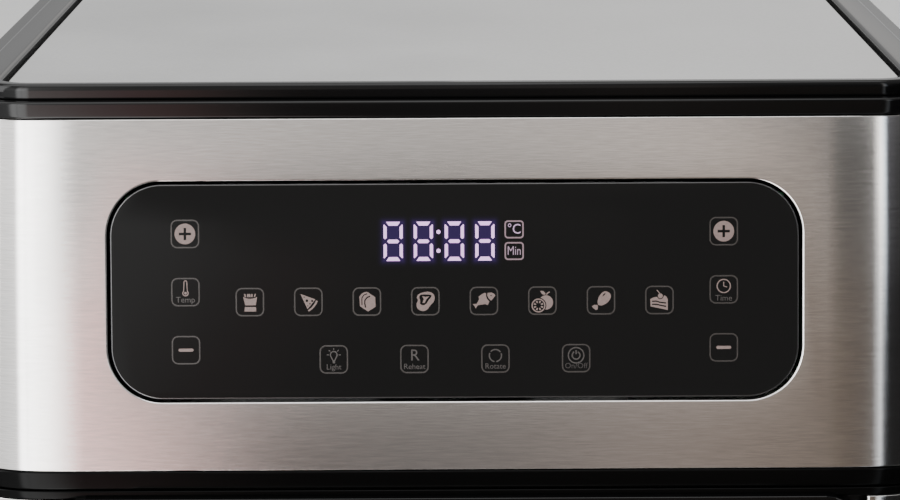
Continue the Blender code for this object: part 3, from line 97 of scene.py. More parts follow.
def arc(centre, radius, start, sweep=pi / 2, steps=FINE):
    """Points of an arc, anticlockwise for a positive sweep."""
    return [
        (
            centre[0] + radius * cos(start + sweep * step / steps),
            centre[1] + radius * sin(start + sweep * step / steps),
        )
        for step in range(steps + 1)
    ]


def rounded_box(low_corner, high_corner, near, far=None, steps=FINE):
    """An anticlockwise outline, with radius near at its low-y corners and far at the others."""
    far = near if far is None else far
    (x0, y0), (x1, y1) = low_corner, high_corner
    points = arc((x1 - far, y1 - far), far, 0, steps=steps)
    points += arc((x0 + far, y1 - far), far, pi / 2, steps=steps)
    points += arc((x0 + near, y0 + near), near, pi, steps=steps)
    points += arc((x1 - near, y0 + near), near, 3 * pi / 2, steps=steps)
    return points


def centred(width, height, radius, steps=FINE):
    return rounded_box((-width / 2, -height / 2), (width / 2, height / 2), radius, steps=steps)


def loft_rings(geometry, rings, close_rings=True, close_stack=False):
    """Joins rings of equally many points by quads, and returns their vertices."""
    rows = [[geometry.verts.new(point) for point in ring] for ring in rings]
    pairs = list(zip(rows, rows[1:]))
    if close_stack:
        pairs.append((rows[-1], rows[0]))
    count = len(rows[0])
    for first, second in pairs:
        for index in range(count if close_rings else count - 1):
            after = (index + 1) % count
            geometry.faces.new((first[index], first[after], second[after], second[index]))
    return rows


def capped_loft(geometry, rings):
    """Joins rings by quads and fills the first and the last one."""
    rows = loft_rings(geometry, rings)
    geometry.faces.new(list(reversed(rows[0])))
    geometry.faces.new(rows[-1])


def rounded_section(thickness, low_z, high_z, radius, steps=4):
    """The closed cross-section of a sheet as (offset inwards, height), with rounded edges."""
    return rounded_box((0, low_z), (thickness, high_z), radius, steps=steps)


def strip(name, line_at, section, material):
    """A sheet along an open plan line: line_at(offset, height) gives the line inside its face."""
    lines = [[(x, y, z) for x, y in line_at(offset, z)] for offset, z in section]
    geometry = bmesh.new()
    rows = loft_rings(geometry, lines, close_rings=False, close_stack=True)
    geometry.faces.new([row[0] for row in rows])
    geometry.faces.new([row[-1] for row in reversed(rows)])
    return from_bmesh(name, geometry, material)


def hoop(name, outline_at, section, material):
    """A closed ring: outline_at(inset) gives the plan outline for each (inset, height) pair."""
    rings = [[(x, y, z) for x, y in outline_at(inset)] for inset, z in section]
    geometry = bmesh.new()
    loft_rings(geometry, rings, close_stack=True)
    return from_bmesh(name, geometry, material)


def slab(name, outline_at, section, material):
    """A solid whose rings run from its back face to its front face, both filled."""
    rings = [[(x, y, z) for x, y in outline_at(inset)] for inset, z in section]
    geometry = bmesh.new()
    capped_loft(geometry, rings)
    return from_bmesh(name, geometry, material)


def edge_round(radius, inset, height, start, steps=5, sweep=pi / 2):
    """Section points of a rounded edge about a centre at (inset, height)."""
    return arc((inset, height), radius, start, sweep, steps)


def cut(made, cutter):
    """Subtracts the cutter, keeps the result as the mesh, and removes the cutter."""
    step = made.modifiers.new("cut", "BOOLEAN")
    step.object = cutter
    step.solver = "EXACT"
    settle(made)
    bpy.data.objects.remove(cutter)
    return made


def settle(made, sharp=radians(32)):
    """Turns what the modifiers make into the object's own mesh."""
    bpy.context.view_layer.update()
    graph = bpy.context.evaluated_depsgraph_get()
    mesh = bpy.data.meshes.new_from_object(made.evaluated_get(graph))
    made.modifiers.clear()
    made.data = mesh
    mesh.shade_smooth()
    mesh.set_sharp_from_angle(angle=sharp)
    return made


def dress(piece, body, slot_name, *nodes):
    """The piece rides on its body and stands for the CAD nodes, which it hides; slot_name is not used."""
    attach(piece, body)
    if nodes:
        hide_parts(*nodes)
    return piece


def coat(node, material):
    """Gives a CAD node that stays in view its material."""
    frame["nodes"][node].data.materials.clear()
    frame["nodes"][node].data.materials.append(material)


# ---------------------------------------------------------------- material helpers
class Surface:
    """A Principled material under construction."""

    def __init__(self, name, colour, roughness, metallic=0.0):
        self.material = bpy.data.materials.new(name)
        self.material.use_nodes = True
        self.tree = self.material.node_tree
        self.shader = self.tree.nodes["Principled BSDF"]
        self.set("Base Color", (*colour, 1.0))
        self.set("Roughness", roughness)
        self.set("Metallic", metallic)

    def set(self, socket, value):
        self.shader.inputs[socket].default_value = value

    def link(self, source, socket):
        self.tree.links.new(source, self.shader.inputs[socket])

    def node(self, kind, values=None, **settings):
        made = self.tree.nodes.new(kind)
        for key, value in settings.items():
            setattr(made, key, value)
        for socket, value in (values or {}).items():
            if isinstance(value, bpy.types.NodeSocket):
                self.tree.links.new(value, made.inputs[socket])
            else:
                made.inputs[socket].default_value = value
        return made

    def coordinates(self, scale=(1, 1, 1)):
        place = self.node("ShaderNodeTexCoord")
        mapping = self.node("ShaderNodeMapping", {"Vector": place.outputs["Object"]})
        mapping.inputs["Scale"].default_value = scale
        return mapping.outputs["Vector"]

    def noise(self, scale=(1, 1, 1), size=1.0, detail=3.0, roughness=0.5):
        values = {"Vector": self.coordinates(scale), "Scale": size, "Detail": detail}
        values["Roughness"] = roughness
        return self.node("ShaderNodeTexNoise", values).outputs["Fac"]

    def spread(self, source, low_value, high_value, from_low=0.3, from_high=0.7):
        values = {"Value": source, "From Min": from_low, "From Max": from_high}
        values["To Min"] = low_value
        values["To Max"] = high_value
        return self.node("ShaderNodeMapRange", values).outputs["Result"]

    def tone(self, source, colour, dark, light):
        """Lets a noise take the colour from its dark to its light shade."""
        shades = (shade(colour, dark), shade(colour, light))
        self.link(self.mix(self.spread(source, 0, 1), *shades), "Base Color")

    def finish(self, source, smooth, rough, *span):
        """Lets a noise, over its span, take the roughness from one value to the other."""
        self.link(self.spread(source, smooth, rough, *span), "Roughness")

    def mix(self, factor, first, second):
        made = self.node("ShaderNodeMix", {"Factor": factor}, data_type="RGBA")
        for socket in made.inputs:
            if socket.type == "RGBA":
                socket.default_value = (*(first if socket.name == "A" else second), 1.0)
        return made.outputs[2]

    def bump(self, height, distance, strength=1.0):
        values = {"Height": height, "Distance": distance, "Strength": strength}
        made = self.node("ShaderNodeBump", values)
        self.link(made.outputs["Normal"], "Normal")
        return made


def shade(colour, factor):
    return tuple(channel * factor for channel in colour)


def brushed_steel(name, colour=(0.60, 0.585, 0.57), marks=(130, 130, 2600), roughness=0.15):
    """Stainless steel with short level brush marks, which spread reflections up and down."""
    made = Surface(name, colour, roughness, 1.0)
    fine = made.noise(marks, 1.0, 3.0, 0.6)
    cloud = made.noise((9, 9, 30), 1.0, 2.0)
    made.tone(fine, colour, 0.90, 1.09)
    made.finish(cloud, roughness - 0.015, roughness + 0.02)
    made.bump(fine, 0.00004, 0.35)
    made.set("Anisotropic", 0.92)
    made.set("Anisotropic Rotation", 0.25)
    return made.material


def satin_steel(name, colour=(0.75, 0.75, 0.745), roughness=0.42):
    made = Surface(name, colour, roughness, 1.0)
    grain = made.noise((1, 1, 1), 900.0, 3.0)
    cloud = made.noise((1, 1, 1), 14.0, 3.0)
    made.tone(grain, colour, 0.96, 1.03)
    made.finish(cloud, roughness - 0.03, roughness + 0.04)
    made.bump(grain, 0.00003, 0.25)
    return made.material


def gloss_black(name, colour=(0.0022, 0.0022, 0.0023), roughness=0.09, gloss=0.22):
    """Moulded gloss plastic with a faint ripple and fine dust."""
    made = Surface(name, colour, roughness)
    ripple = made.noise((1, 1, 1), 120.0, 2.0)
    dust = made.noise((1, 1, 1), 2600.0, 2.0)
    made.finish(dust, roughness, roughness + 0.25, 0.68, 0.80)
    made.link(made.mix(made.spread(dust, 0, 1, 0.70, 0.80), colour, shade(colour, 4)), "Base Color")
    made.bump(ripple, 0.00005, 0.12)
    made.set("Specular IOR Level", gloss)
    return made.material


def textured_black(name, colour=(0.020, 0.020, 0.021), roughness=0.55, size=1600.0):
    """Black coating or plastic with a fine pebble."""
    made = Surface(name, colour, roughness)
    pebble = made.node(
        "ShaderNodeTexVoronoi", {"Vector": made.coordinates(), "Scale": size}
    ).outputs["Distance"]
    wear = made.noise((1, 1, 1), 40.0, 4.0)
    made.tone(wear, colour, 0.85, 1.3)
    made.finish(wear, roughness - 0.06, roughness + 0.08)
    made.bump(pebble, 0.00008, 0.35)
    return made.material


def plain_metal(name, colour, roughness, size=60.0):
    """Rolled or plated metal with soft stains and fine scratches."""
    made = Surface(name, colour, roughness, 1.0)
    stain = made.noise((1, 1, 1), size, 4.0)
    scratch = made.noise((400, 60, 400), 2.0, 3.0)
    made.tone(stain, colour, 0.85, 1.05)
    made.finish(scratch, roughness - 0.04, roughness + 0.08)
    made.bump(scratch, 0.00003, 0.2)
    return made.material


def rubber(name, colour=(0.022, 0.022, 0.022)):
    made = Surface(name, colour, 0.75)
    grain = made.noise((1, 1, 1), 700.0, 4.0)
    made.tone(grain, colour, 0.8, 1.5)
    made.finish(grain, 0.65, 0.85)
    made.bump(grain, 0.00006, 0.4)
    return made.material


def plastic(name, colour, roughness=0.45):
    made = Surface(name, colour, roughness)
    grain = made.noise((1, 1, 1), 500.0, 3.0)
    cloud = made.noise((1, 1, 1), 30.0, 2.0)
    made.tone(cloud, colour, 0.9, 1.08)
    made.finish(grain, roughness - 0.05, roughness + 0.07)
    made.bump(grain, 0.00004, 0.25)
    return made.material


def clear_glass(name, colour=(0.78, 0.81, 0.81)):
    """Tinted toughened glass, which light crosses unbent, with faint smears on its gloss."""
    made = Surface(name, colour, 0.0)
    smear = made.noise((14, 14, 50), 1.0, 4.0)
    tint = made.mix(made.spread(smear, 0, 1), shade(colour, 0.97), shade(colour, 1.02))
    clear = made.node("ShaderNodeBsdfTransparent", {"Color": tint})
    gloss = made.node("ShaderNodeBsdfGlossy")
    made.tree.links.new(made.spread(smear, 0.01, 0.05), gloss.inputs["Roughness"])
    pane = made.node("ShaderNodeMixShader", {"Fac": made.spread(smear, 0.010, 0.016)})
    made.tree.links.new(clear.outputs["BSDF"], pane.inputs[1])
    made.tree.links.new(gloss.outputs["BSDF"], pane.inputs[2])
    output = made.tree.nodes["Material Output"]
    made.tree.links.new(pane.outputs["Shader"], output.inputs["Surface"])
    return made.material


def circuit_board(name, colour=(0.012, 0.12, 0.045)):
    made = Surface(name, colour, 0.35)
    tracks = made.node(
        "ShaderNodeTexVoronoi",
        {"Vector": made.coordinates(), "Scale": 260.0},
        distance="MANHATTAN",
        feature="F1",
    ).outputs["Distance"]
    made.link(made.mix(made.spread(tracks, 0, 1, 0.35, 0.40), colour, (0.03, 0.26, 0.10)), "Base Color")
    made.finish(tracks, 0.30, 0.45)
    made.bump(tracks, 0.00004, 0.3)
    return made.material


STEEL = brushed_steel("brushed_steel")
TOP_STEEL = satin_steel("satin_steel")
BLACK = gloss_black("gloss_black")
DEEP_BLACK = gloss_black("deep_black", (0.0015, 0.0015, 0.0015), 0.12, 0.06)
COATED = textured_black("coated_steel")
DARK_PLASTIC = textured_black("dark_plastic", (0.024, 0.024, 0.025), 0.5, 2400.0)
LINER = plain_metal("liner_steel", (0.46, 0.455, 0.445), 0.33)
DOOR_SHEET = plain_metal("door_sheet", (0.50, 0.50, 0.49), 0.38)
WIRE = plain_metal("bright_wire", (0.74, 0.73, 0.71), 0.16)
SHEATH = plain_metal("heater_sheath", (0.10, 0.09, 0.08), 0.5, 180.0)
CAST = plain_metal("cast_aluminium", (0.68, 0.68, 0.67), 0.36)
ZINC = plain_metal("zinc_steel", (0.44, 0.44, 0.45), 0.42)
COPPER = plain_metal("winding", (0.50, 0.22, 0.09), 0.38, 400.0)
RUBBER = rubber("foot_rubber")
SEAL = rubber("door_seal", (0.04, 0.04, 0.04))
WHITE = plastic("white_plastic", (0.72, 0.71, 0.67))
BOARD = circuit_board("circuit_board")
GLASS = clear_glass("door_glass")
BORDER_INK = plastic("glass_border", (0.008, 0.008, 0.0085), 0.3)


# ---------------------------------------------------------------- camera, floor and light
CAMERA_LENS = 112.6
CAMERA_SENSOR = 36.0
CAMERA_PITCH = radians(13.0)
CAMERA_ROLL = radians(-0.3)
CAMERA_DISTANCE = 0.9229
CAMERA_TARGET = Vector((-0.00144, FRONT_Y + 0.0132, BAND_BOTTOM + 0.0711))


def make_camera():
    """A long lens a little above the panel, as in the photograph."""
    data = bpy.data.cameras.new("camera")
    data.lens = CAMERA_LENS
    data.sensor_width = CAMERA_SENSOR
    data.clip_start = 0.05
    data.clip_end = 50.0
    camera = bpy.data.objects.new("camera", data)
    bpy.context.scene.collection.objects.link(camera)
    away = Vector((0.0, -cos(CAMERA_PITCH), sin(CAMERA_PITCH)))
    camera.location = CAMERA_TARGET + CAMERA_DISTANCE * away
    roll = Matrix.Rotation(CAMERA_ROLL, 4, "Z")
    turn = (-away).to_track_quat("-Z", "Y").to_matrix().to_4x4() @ roll
    camera.rotation_euler = turn.to_euler()
    bpy.context.scene.camera = camera


FLOOR_HALF = 12.0
FLOOR_DROP = 0.2 * MM


def make_floor():
    """A pale paper floor, which is left out of every mirror reflection."""
    geometry = bmesh.new()
    bmesh.ops.create_grid(geometry, x_segments=2, y_segments=2, size=FLOOR_HALF)
    surface = Surface("floor_paper", (0.80, 0.80, 0.79), 0.6)
    paper = surface.noise((1, 1, 1), 30.0, 3.0)
    tone = surface.mix(surface.spread(paper, 0, 1), (0.79, 0.79, 0.78), (0.82, 0.82, 0.81))
    surface.link(tone, "Base Color")
    floor = from_bmesh("floor", geometry, surface.material)
    floor.location.z = -FLOOR_DROP
    floor.visible_glossy = False


def area_light(name, place, target, size, power, colour=(1.0, 1.0, 1.0)):
    data = bpy.data.lights.new(name, "AREA")
    data.shape = "RECTANGLE"
    data.size, data.size_y = size
    data.energy = power
    data.color = colour
    light = bpy.data.objects.new(name, data)
    bpy.context.scene.collection.objects.link(light)
    light.location = place
    direction = Vector(target) - Vector(place)
    light.rotation_euler = direction.to_track_quat("-Z", "Y").to_euler()


# Brightness of the studio by compass bearing in degrees, 0 straight in front and 90 to the right,
# above eye level and below it
STUDIO_HIGH = (
    (-180, (0.60, 0.60, 0.60)),
    (-100, (0.42, 0.42, 0.42)),
    (-75, (0.55, 0.55, 0.55)),
    (-58, (2.40, 2.40, 2.40)),
    (-34, (2.60, 2.60, 2.60)),
    (-29, (11.0, 11.0, 11.0)),
    (-23, (11.0, 11.0, 11.0)),
    (-22, (5.00, 5.00, 5.00)),
    (-21, (11.0, 11.0, 11.0)),
    (-15, (9.00, 9.00, 8.95)),
    (-10.5, (1.28, 1.25, 1.22)),
    (-7, (1.02, 0.98, 0.95)),
    (0, (0.86, 0.80, 0.76)),
    (4, (0.98, 0.89, 0.83)),
    (6.8, (1.05, 0.90, 0.80)),
    (8.0, (0.13, 0.125, 0.12)),
    (17.2, (0.10, 0.09, 0.08)),
    (20, (6.40, 6.20, 6.00)),
    (24, (3.00, 3.50, 4.00)),
    (26.5, (0.12, 0.12, 0.14)),
    (45, (0.05, 0.05, 0.05)),
    (75, (0.35, 0.35, 0.35)),
    (110, (0.70, 0.70, 0.70)),
    (180, (0.92, 0.90, 0.88)),
)
STUDIO_LOW = (
    (-180, (0.45, 0.45, 0.45)),
    (-75, (0.45, 0.45, 0.45)),
    (-58, (1.60, 1.60, 1.60)),
    (-34, (2.20, 2.20, 2.20)),
    (-29, (9.00, 9.00, 9.00)),
    (-23, (9.00, 9.00, 9.00)),
    (-22, (4.50, 4.50, 4.50)),
    (-21, (9.00, 9.00, 9.00)),
    (-14, (8.00, 7.90, 7.80)),
    (-10, (3.40, 2.70, 2.60)),
    (-8, (2.30, 1.20, 1.25)),
    (-7, (2.00, 1.22, 1.12)),
    (-6.2, (1.45, 1.28, 1.22)),
    (-5.1, (0.20, 0.18, 0.17)),
    (1, (0.24, 0.22, 0.21)),
    (5, (0.44, 0.36, 0.32)),
    (8, (0.26, 0.21, 0.17)),
    (16.5, (0.14, 0.11, 0.09)),
    (19, (1.90, 1.94, 2.00)),
    (21, (1.50, 1.62, 1.75)),
    (22.4, (0.02, 0.02, 0.02)),
    (48, (0.02, 0.02, 0.02)),
    (75, (0.45, 0.45, 0.45)),
    (180, (0.62, 0.62, 0.62)),
)
EYE_LEVEL = sin(radians(8.0))
EYE_BLEND = sin(radians(1.5))
CEILING_BLEND = (0.30, 0.75)
CEILING = (0.80, 0.80, 0.80, 1.0)


def bearing_ramp(tree, turns, stops):
    """A colour ramp over the bearing, from stops in degrees."""
    ramp = tree.nodes.new("ShaderNodeValToRGB")
    elements = ramp.color_ramp.elements
    for index, (degrees, colour) in enumerate(stops):
        position = (degrees + 180) / 360
        stop = elements[index] if index < 2 else elements.new(position)
        stop.position = position
        stop.color = (*colour, 1.0)
    tree.links.new(turns, ramp.inputs[0])
    return ramp.outputs["Color"]


def math_node(tree, operation, first, *others):
    """A math node fed by a socket, with numbers or sockets after it, and its result."""
    made = tree.nodes.new("ShaderNodeMath")
    made.operation = operation
    tree.links.new(first, made.inputs[0])
    for index, value in enumerate(others, 1):
        if isinstance(value, bpy.types.NodeSocket):
            tree.links.new(value, made.inputs[index])
        else:
            made.inputs[index].default_value = value
    return made.outputs[0]


def make_studio():
    """Surroundings whose brightness goes by bearing, in two layers, under an even ceiling."""
    world = bpy.data.worlds.new("studio")
    bpy.context.scene.world = world
    world.use_nodes = True
    tree = world.node_tree
    background = tree.nodes["Background"]
    place = tree.nodes.new("ShaderNodeTexCoord")
    parts = tree.nodes.new("ShaderNodeSeparateXYZ")
    tree.links.new(place.outputs["Generated"], parts.inputs[0])
    ahead = math_node(tree, "MULTIPLY", parts.outputs["Y"], -1.0)
    bearing = math_node(tree, "ARCTAN2", parts.outputs["X"], ahead)
    turns = math_node(tree, "MULTIPLY_ADD", bearing, 1 / (2 * pi), 0.5)
    high_colour = bearing_ramp(tree, turns, STUDIO_HIGH)
    low_colour = bearing_ramp(tree, turns, STUDIO_LOW)
    colour = layer(tree, parts.outputs["Z"], EYE_LEVEL - EYE_BLEND, EYE_LEVEL + EYE_BLEND, low_colour)
    tree.links.new(high_colour, colour.inputs[7])
    top = layer(tree, parts.outputs["Z"], *CEILING_BLEND, colour.outputs[2])
    top.inputs[7].default_value = CEILING
    tree.links.new(top.outputs[2], background.inputs["Color"])
    background.inputs["Strength"].default_value = 1.0


def layer(tree, height, start, stop, below):
    """A colour mix that goes over from the colour below to the next one between two heights."""
    rise = tree.nodes.new("ShaderNodeMapRange")
    rise.inputs["From Min"].default_value = start
    rise.inputs["From Max"].default_value = stop
    tree.links.new(height, rise.inputs["Value"])
    mix = tree.nodes.new("ShaderNodeMix")
    mix.data_type = "RGBA"
    tree.links.new(rise.outputs[0], mix.inputs[0])
    tree.links.new(below, mix.inputs[6])
    return mix


# ---------------------------------------------------------------- top
def plan_outline(side, front, rear, near, far, front_share=1.0):
    """The top's plan, inset from the widest trim by these amounts, as a function of more inset."""

    def outline(inset):
        low_corner = (-HALF_WIDTH + side + inset, BAND_TOP_Y + front + front_share * inset)
        high_corner = (HALF_WIDTH - side - inset, BACK_Y - rear - inset)
        return rounded_box(low_corner, high_corner, near - inset, far - inset)

    return outline


TRIM_WIDTH = 26 * MM
TRIM_EDGE = 0.9 * MM
TRIM_RISE = 0.2 * MM
RIM_SINK = 0.4 * MM
RIM_FOOT = 0.6 * MM
RIM_OUTER = 2.8 * MM
RIM_INNER = 2.0 * MM
RIM_OVERLAP = 2.3 * MM
RIM_FRONT_SHARE = 5.4 / 11.2
PLATE_EDGE = 0.8 * MM
PLATE_CORNER = 10 * MM
PLATE_FORWARD = 1.9 * MM


def make_top():
    """The trim ring, the raised black rim on it, and the satin plate inside the rim."""
    z0, z1 = low("top_trim").z, high("top_trim").z + TRIM_RISE
    outline = plan_outline(0, 0, 0, CORNER_RADIUS, REAR_RADIUS + 14 * MM)
    section = [(TRIM_WIDTH, z0), (1.2 * MM, z0)]
    section += edge_round(TRIM_EDGE, TRIM_EDGE, z0 + TRIM_EDGE, -pi / 2, sweep=-pi / 2)[1:]
    section += edge_round(TRIM_EDGE, TRIM_EDGE, z1 - TRIM_EDGE, pi, sweep=-pi / 2)
    section += [(TRIM_WIDTH, z1)]
    dress(hoop("top_trim_ring", outline, section, BLACK), "housing", "gloss_black", "top_trim")

    side = low("top_frame").x + HALF_WIDTH
    front = low("top_frame").y - BAND_TOP_Y
    z0, z1 = low("top_frame").z, high("top_frame").z - RIM_SINK
    rim = low("top_plate").x - low("top_frame").x - RIM_OVERLAP
    far = REAR_RADIUS + 8 * MM
    outline = plan_outline(side, front, side, CORNER_RADIUS - side, far, RIM_FRONT_SHARE)
    section = [(rim, z0), (RIM_FOOT, z0)]
    section += edge_round(RIM_FOOT, RIM_FOOT, z0 + RIM_FOOT, -pi / 2, sweep=-pi / 2)[1:]
    section += edge_round(RIM_OUTER, RIM_OUTER, z1 - RIM_OUTER, pi, sweep=-pi / 2, steps=10)
    section += edge_round(RIM_INNER, rim - RIM_INNER, z1 - RIM_INNER, pi / 2, sweep=-pi / 2)
    dress(hoop("top_frame_ring", outline, section, BLACK), "housing", "gloss_black", "top_frame")

    plate_low, plate_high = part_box("top_plate")
    side = plate_low.x + HALF_WIDTH
    front = plate_low.y - BAND_TOP_Y - PLATE_FORWARD
    rear = BACK_Y - plate_high.y
    outline = plan_outline(side, front, rear, PLATE_CORNER, PLATE_CORNER)
    section = [(0, plate_low.z)]
    section += edge_round(PLATE_EDGE, PLATE_EDGE, plate_high.z - PLATE_EDGE, pi, sweep=-pi / 2)
    dress(slab("top_sheet", outline, section, TOP_STEEL), "housing", "satin_steel", "top_plate")


# ---------------------------------------------------------------- casing
SOFT_BEND_RADIUS = 260 * MM
SOFT_BEND_START = 48 * MM


def right_line(front_y, offset, back_y=CASING_BACK_Y):
    """The casing's right half in plan: its face eases into the corner by a wide bend."""
    half = HALF_WIDTH - offset
    start = HALF_WIDTH - SOFT_BEND_START
    wide = SOFT_BEND_RADIUS - offset
    turn = atan2(SOFT_BEND_START - CORNER_RADIUS, SOFT_BEND_RADIUS)
    points = arc((start, front_y + offset + wide), wide, 3 * pi / 2, turn, 8)
    end_x, end_y = points[-1]
    tight = (half - end_x) / (1 - sin(turn))
    centre = (half - tight, end_y + tight * cos(turn))
    points += arc(centre, tight, 3 * pi / 2 + turn, pi / 2 - turn)[1:]
    points.append((half, back_y))
    return points


def soft_line(front_y, offset, back_y=CASING_BACK_Y):
    """The whole plan line from the left rear end round the front."""
    points = right_line(front_y, offset, back_y)
    return [(-x, y) for x, y in reversed(points)] + points


def panel_matrix():
    """The place of the control panel's front face: local X across, Y up its slope, Z outwards."""
    panel_low, panel_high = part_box("control_panel")
    middle = (panel_low + panel_high) / 2
    outward = Vector((0.0, -cos(LEAN), sin(LEAN)))
    turn = Matrix.Rotation(pi / 2 - LEAN, 4, "X")
    return Matrix.Translation(middle + outward * 1.5 * MM) @ turn


PANEL_SIZE = (226 * MM, 70.7 * MM)
PANEL_RADIUS = 17 * MM
PANEL_GAP = 1.0 * MM
BAND_SHEET = 1.0 * MM
BAND_EDGE = 0.35 * MM
CUTTER_REACH = 6 * MM


def make_band():
    """The brushed band round the top of the casing, with the panel's opening punched in it."""

    def line_at(offset, z):
        rise = (z - BAND_BOTTOM) / (BAND_TOP - BAND_BOTTOM)
        front_y = FRONT_Y + rise * (BAND_TOP_Y - FRONT_Y)
        return soft_line(front_y, offset)

    section = rounded_section(BAND_SHEET, BAND_BOTTOM, BAND_TOP, BAND_EDGE)
    band = strip("steel_band", line_at, section, STEEL)
    width, height = PANEL_SIZE
    opening = centred(width + 2 * PANEL_GAP, height + 2 * PANEL_GAP, PANEL_RADIUS + PANEL_GAP)
    geometry = bmesh.new()
    rings = [[(x, y, z) for x, y in opening] for z in (-CUTTER_REACH, CUTTER_REACH)]
    capped_loft(geometry, rings)
    cutter = from_bmesh("opening_cutter", geometry, None)
    cutter.matrix_world = panel_matrix()
    cut(band, cutter)
    roll_opening(band)
    dress(band, "housing", "brushed_steel", "control_band")


ROLLED_EDGE = 0.55 * MM
FLAT_AREA = 1e-4
OUTER_FACE_BAND = 0.2 * MM


def roll_opening(band):
    """Rounds the outer edge of the panel's opening, as a punch leaves it."""
    to_panel = panel_matrix().inverted()
    reach_x = PANEL_SIZE[0] / 2 + 2 * PANEL_GAP
    reach_y = PANEL_SIZE[1] / 2 + 2 * PANEL_GAP
    geometry = bmesh.new()
    geometry.from_mesh(band.data)
    places = {vertex: to_panel @ vertex.co for vertex in geometry.verts}
    face_height = max(
        place.z for place in places.values() if abs(place.x) < reach_x and abs(place.y) < reach_y
    )

    def near_opening(edge):
        ends = [to_panel @ vertex.co for vertex in edge.verts]
        return all(abs(end.x) < reach_x and abs(end.y) < reach_y for end in ends)

    edges = []
    for edge in geometry.edges:
        outer = all(abs(places[vertex].z - face_height) < OUTER_FACE_BAND for vertex in edge.verts)
        if near_opening(edge) and outer and edge.calc_face_angle(0.0) > radians(60):
            edges.append(edge)
    bmesh.ops.bevel(geometry, geom=edges, offset=ROLLED_EDGE, segments=4, profile=0.5, affect="EDGES")
    for edge in geometry.edges:
        flat_beside = any(face.calc_area() > FLAT_AREA for face in edge.link_faces)
        gentle = edge.calc_face_angle(0.0) < radians(32)
        edge.smooth = gentle and not (flat_beside and near_opening(edge))
    geometry.to_mesh(band.data)
    geometry.free()


DIVIDER_DROP = 0.4 * MM
LIP_DROP = 3.4 * MM
LIP_GAP = 0.3 * MM


def make_divider():
    """The black ring under the band, and the narrow black lip on top of the lower casing."""

    def line(offset, _z):
        return soft_line(FRONT_Y, offset)

    z0, z1 = low("divider_ring").z - DIVIDER_DROP, high("divider_ring").z
    section = rounded_section(4.0 * MM, z0, z1, 0.9 * MM)
    ring = strip("divider_strip", line, section, DEEP_BLACK)
    dress(ring, "housing", "gloss_black", "divider_ring")
    section = rounded_section(3.0 * MM, z0 - LIP_DROP + LIP_GAP, z0 - LIP_GAP, 0.5 * MM)
    dress(strip("casing_lip", line, section, DEEP_BLACK), "housing", "gloss_black")


FOLD_RADIUS = 1.2 * MM
SIDE_SHEET = 0.9 * MM


def make_side_panels():
    """Each side is one sheet, folded inwards beside the door."""
    return_x = abs(high("side_panel_left").x)
    back_y = low("front_frame").y - 0.3 * MM
    z0 = low("side_panel_left").z
    z1 = low("divider_ring").z - DIVIDER_DROP - LIP_DROP
    start = HALF_WIDTH - SOFT_BEND_START
    run = return_x + FOLD_RADIUS - start
    eased = SOFT_BEND_RADIUS - (SOFT_BEND_RADIUS**2 - run**2) ** 0.5

    def line(offset, _z):
        centre = (return_x + FOLD_RADIUS, FRONT_Y + eased + FOLD_RADIUS)
        points = [(return_x + offset, back_y)]
        points += arc(centre, FOLD_RADIUS - offset, pi, pi / 2, 8)
        rest = right_line(FRONT_Y, offset)
        return points + [point for point in rest if point[0] > return_x + FOLD_RADIUS + 0.2 * MM]

    section = rounded_section(SIDE_SHEET, z0, z1, 0.3 * MM)
    for side, sign in (("left", -1), ("right", 1)):

        def placed(offset, z):
            return [(sign * x, y) for x, y in line(offset, z)]

        panel = strip("side_sheet_" + side, placed, section, STEEL)
        dress(panel, "housing", "brushed_steel", "side_panel_" + side)


# ---------------------------------------------------------------- control panel
DIGIT_HEIGHT = 12.7 * MM
DIGIT_WIDTH = 6.3 * MM
DIGIT_LEFT = (-23.2 * MM, -13.3 * MM, -3.15 * MM, 6.85 * MM)
DIGIT_Y = 16.3 * MM
COLON_X = -5.2 * MM
STROKE = 1.2 * MM
UPRIGHT = 1.05
GLOW_REACH = 4.0 * MM
GLOW_FALL = 5.0
GLOW_STRENGTH = 0.10


def panel_glass():
    """Back-painted glass, with the digits' violet glow spread through it."""
    made = Surface("panel_glass", (0.0075, 0.0073, 0.0072), 0.07)
    made.set("Specular IOR Level", 0.025)
    grain = made.noise((1, 1, 1), 800.0, 2.0)
    made.finish(grain, 0.06, 0.12)
    place = made.node("ShaderNodeTexCoord").outputs["Object"]

    def vector_step(operation, first, second=(0.0, 0.0, 0.0)):
        return made.node("ShaderNodeVectorMath", {0: first, 1: second}, operation=operation)

    total = None
    for left in DIGIT_LEFT:
        middle = (left + DIGIT_WIDTH / 2, DIGIT_Y, 0.0)
        half = (DIGIT_WIDTH / 2, DIGIT_HEIGHT / 2, 1.0)
        folded = vector_step("ABSOLUTE", vector_step("SUBTRACT", place, middle).outputs[0])
        beyond = vector_step("SUBTRACT", folded.outputs[0], half)
        outside = vector_step("MAXIMUM", beyond.outputs[0])
        far = vector_step("LENGTH", outside.outputs[0]).outputs["Value"]
        near = made.spread(far, 1.0, 0.0, 0.0, GLOW_REACH)
        total = near if total is None else math_node(made.tree, "MAXIMUM", total, near)
    soft = math_node(made.tree, "POWER", total, GLOW_FALL)
    glow = math_node(made.tree, "MULTIPLY", soft, GLOW_STRENGTH)
    made.set("Emission Color", (0.27, 0.11, 0.80, 1.0))
    made.link(glow, "Emission Strength")
    return made.material


GLASS_EDGE = 0.5 * MM


def polished_edge():
    """The ground and polished rim of the black glass."""
    made = Surface("glass_edge", (0.010, 0.010, 0.011), 0.16)
    made.set("Specular IOR Level", 0.9)
    grind = made.noise((1, 1, 1), 1800.0, 3.0)
    made.finish(grind, 0.13, 0.22)
    made.bump(grind, 0.00002, 0.2)
    return made.material


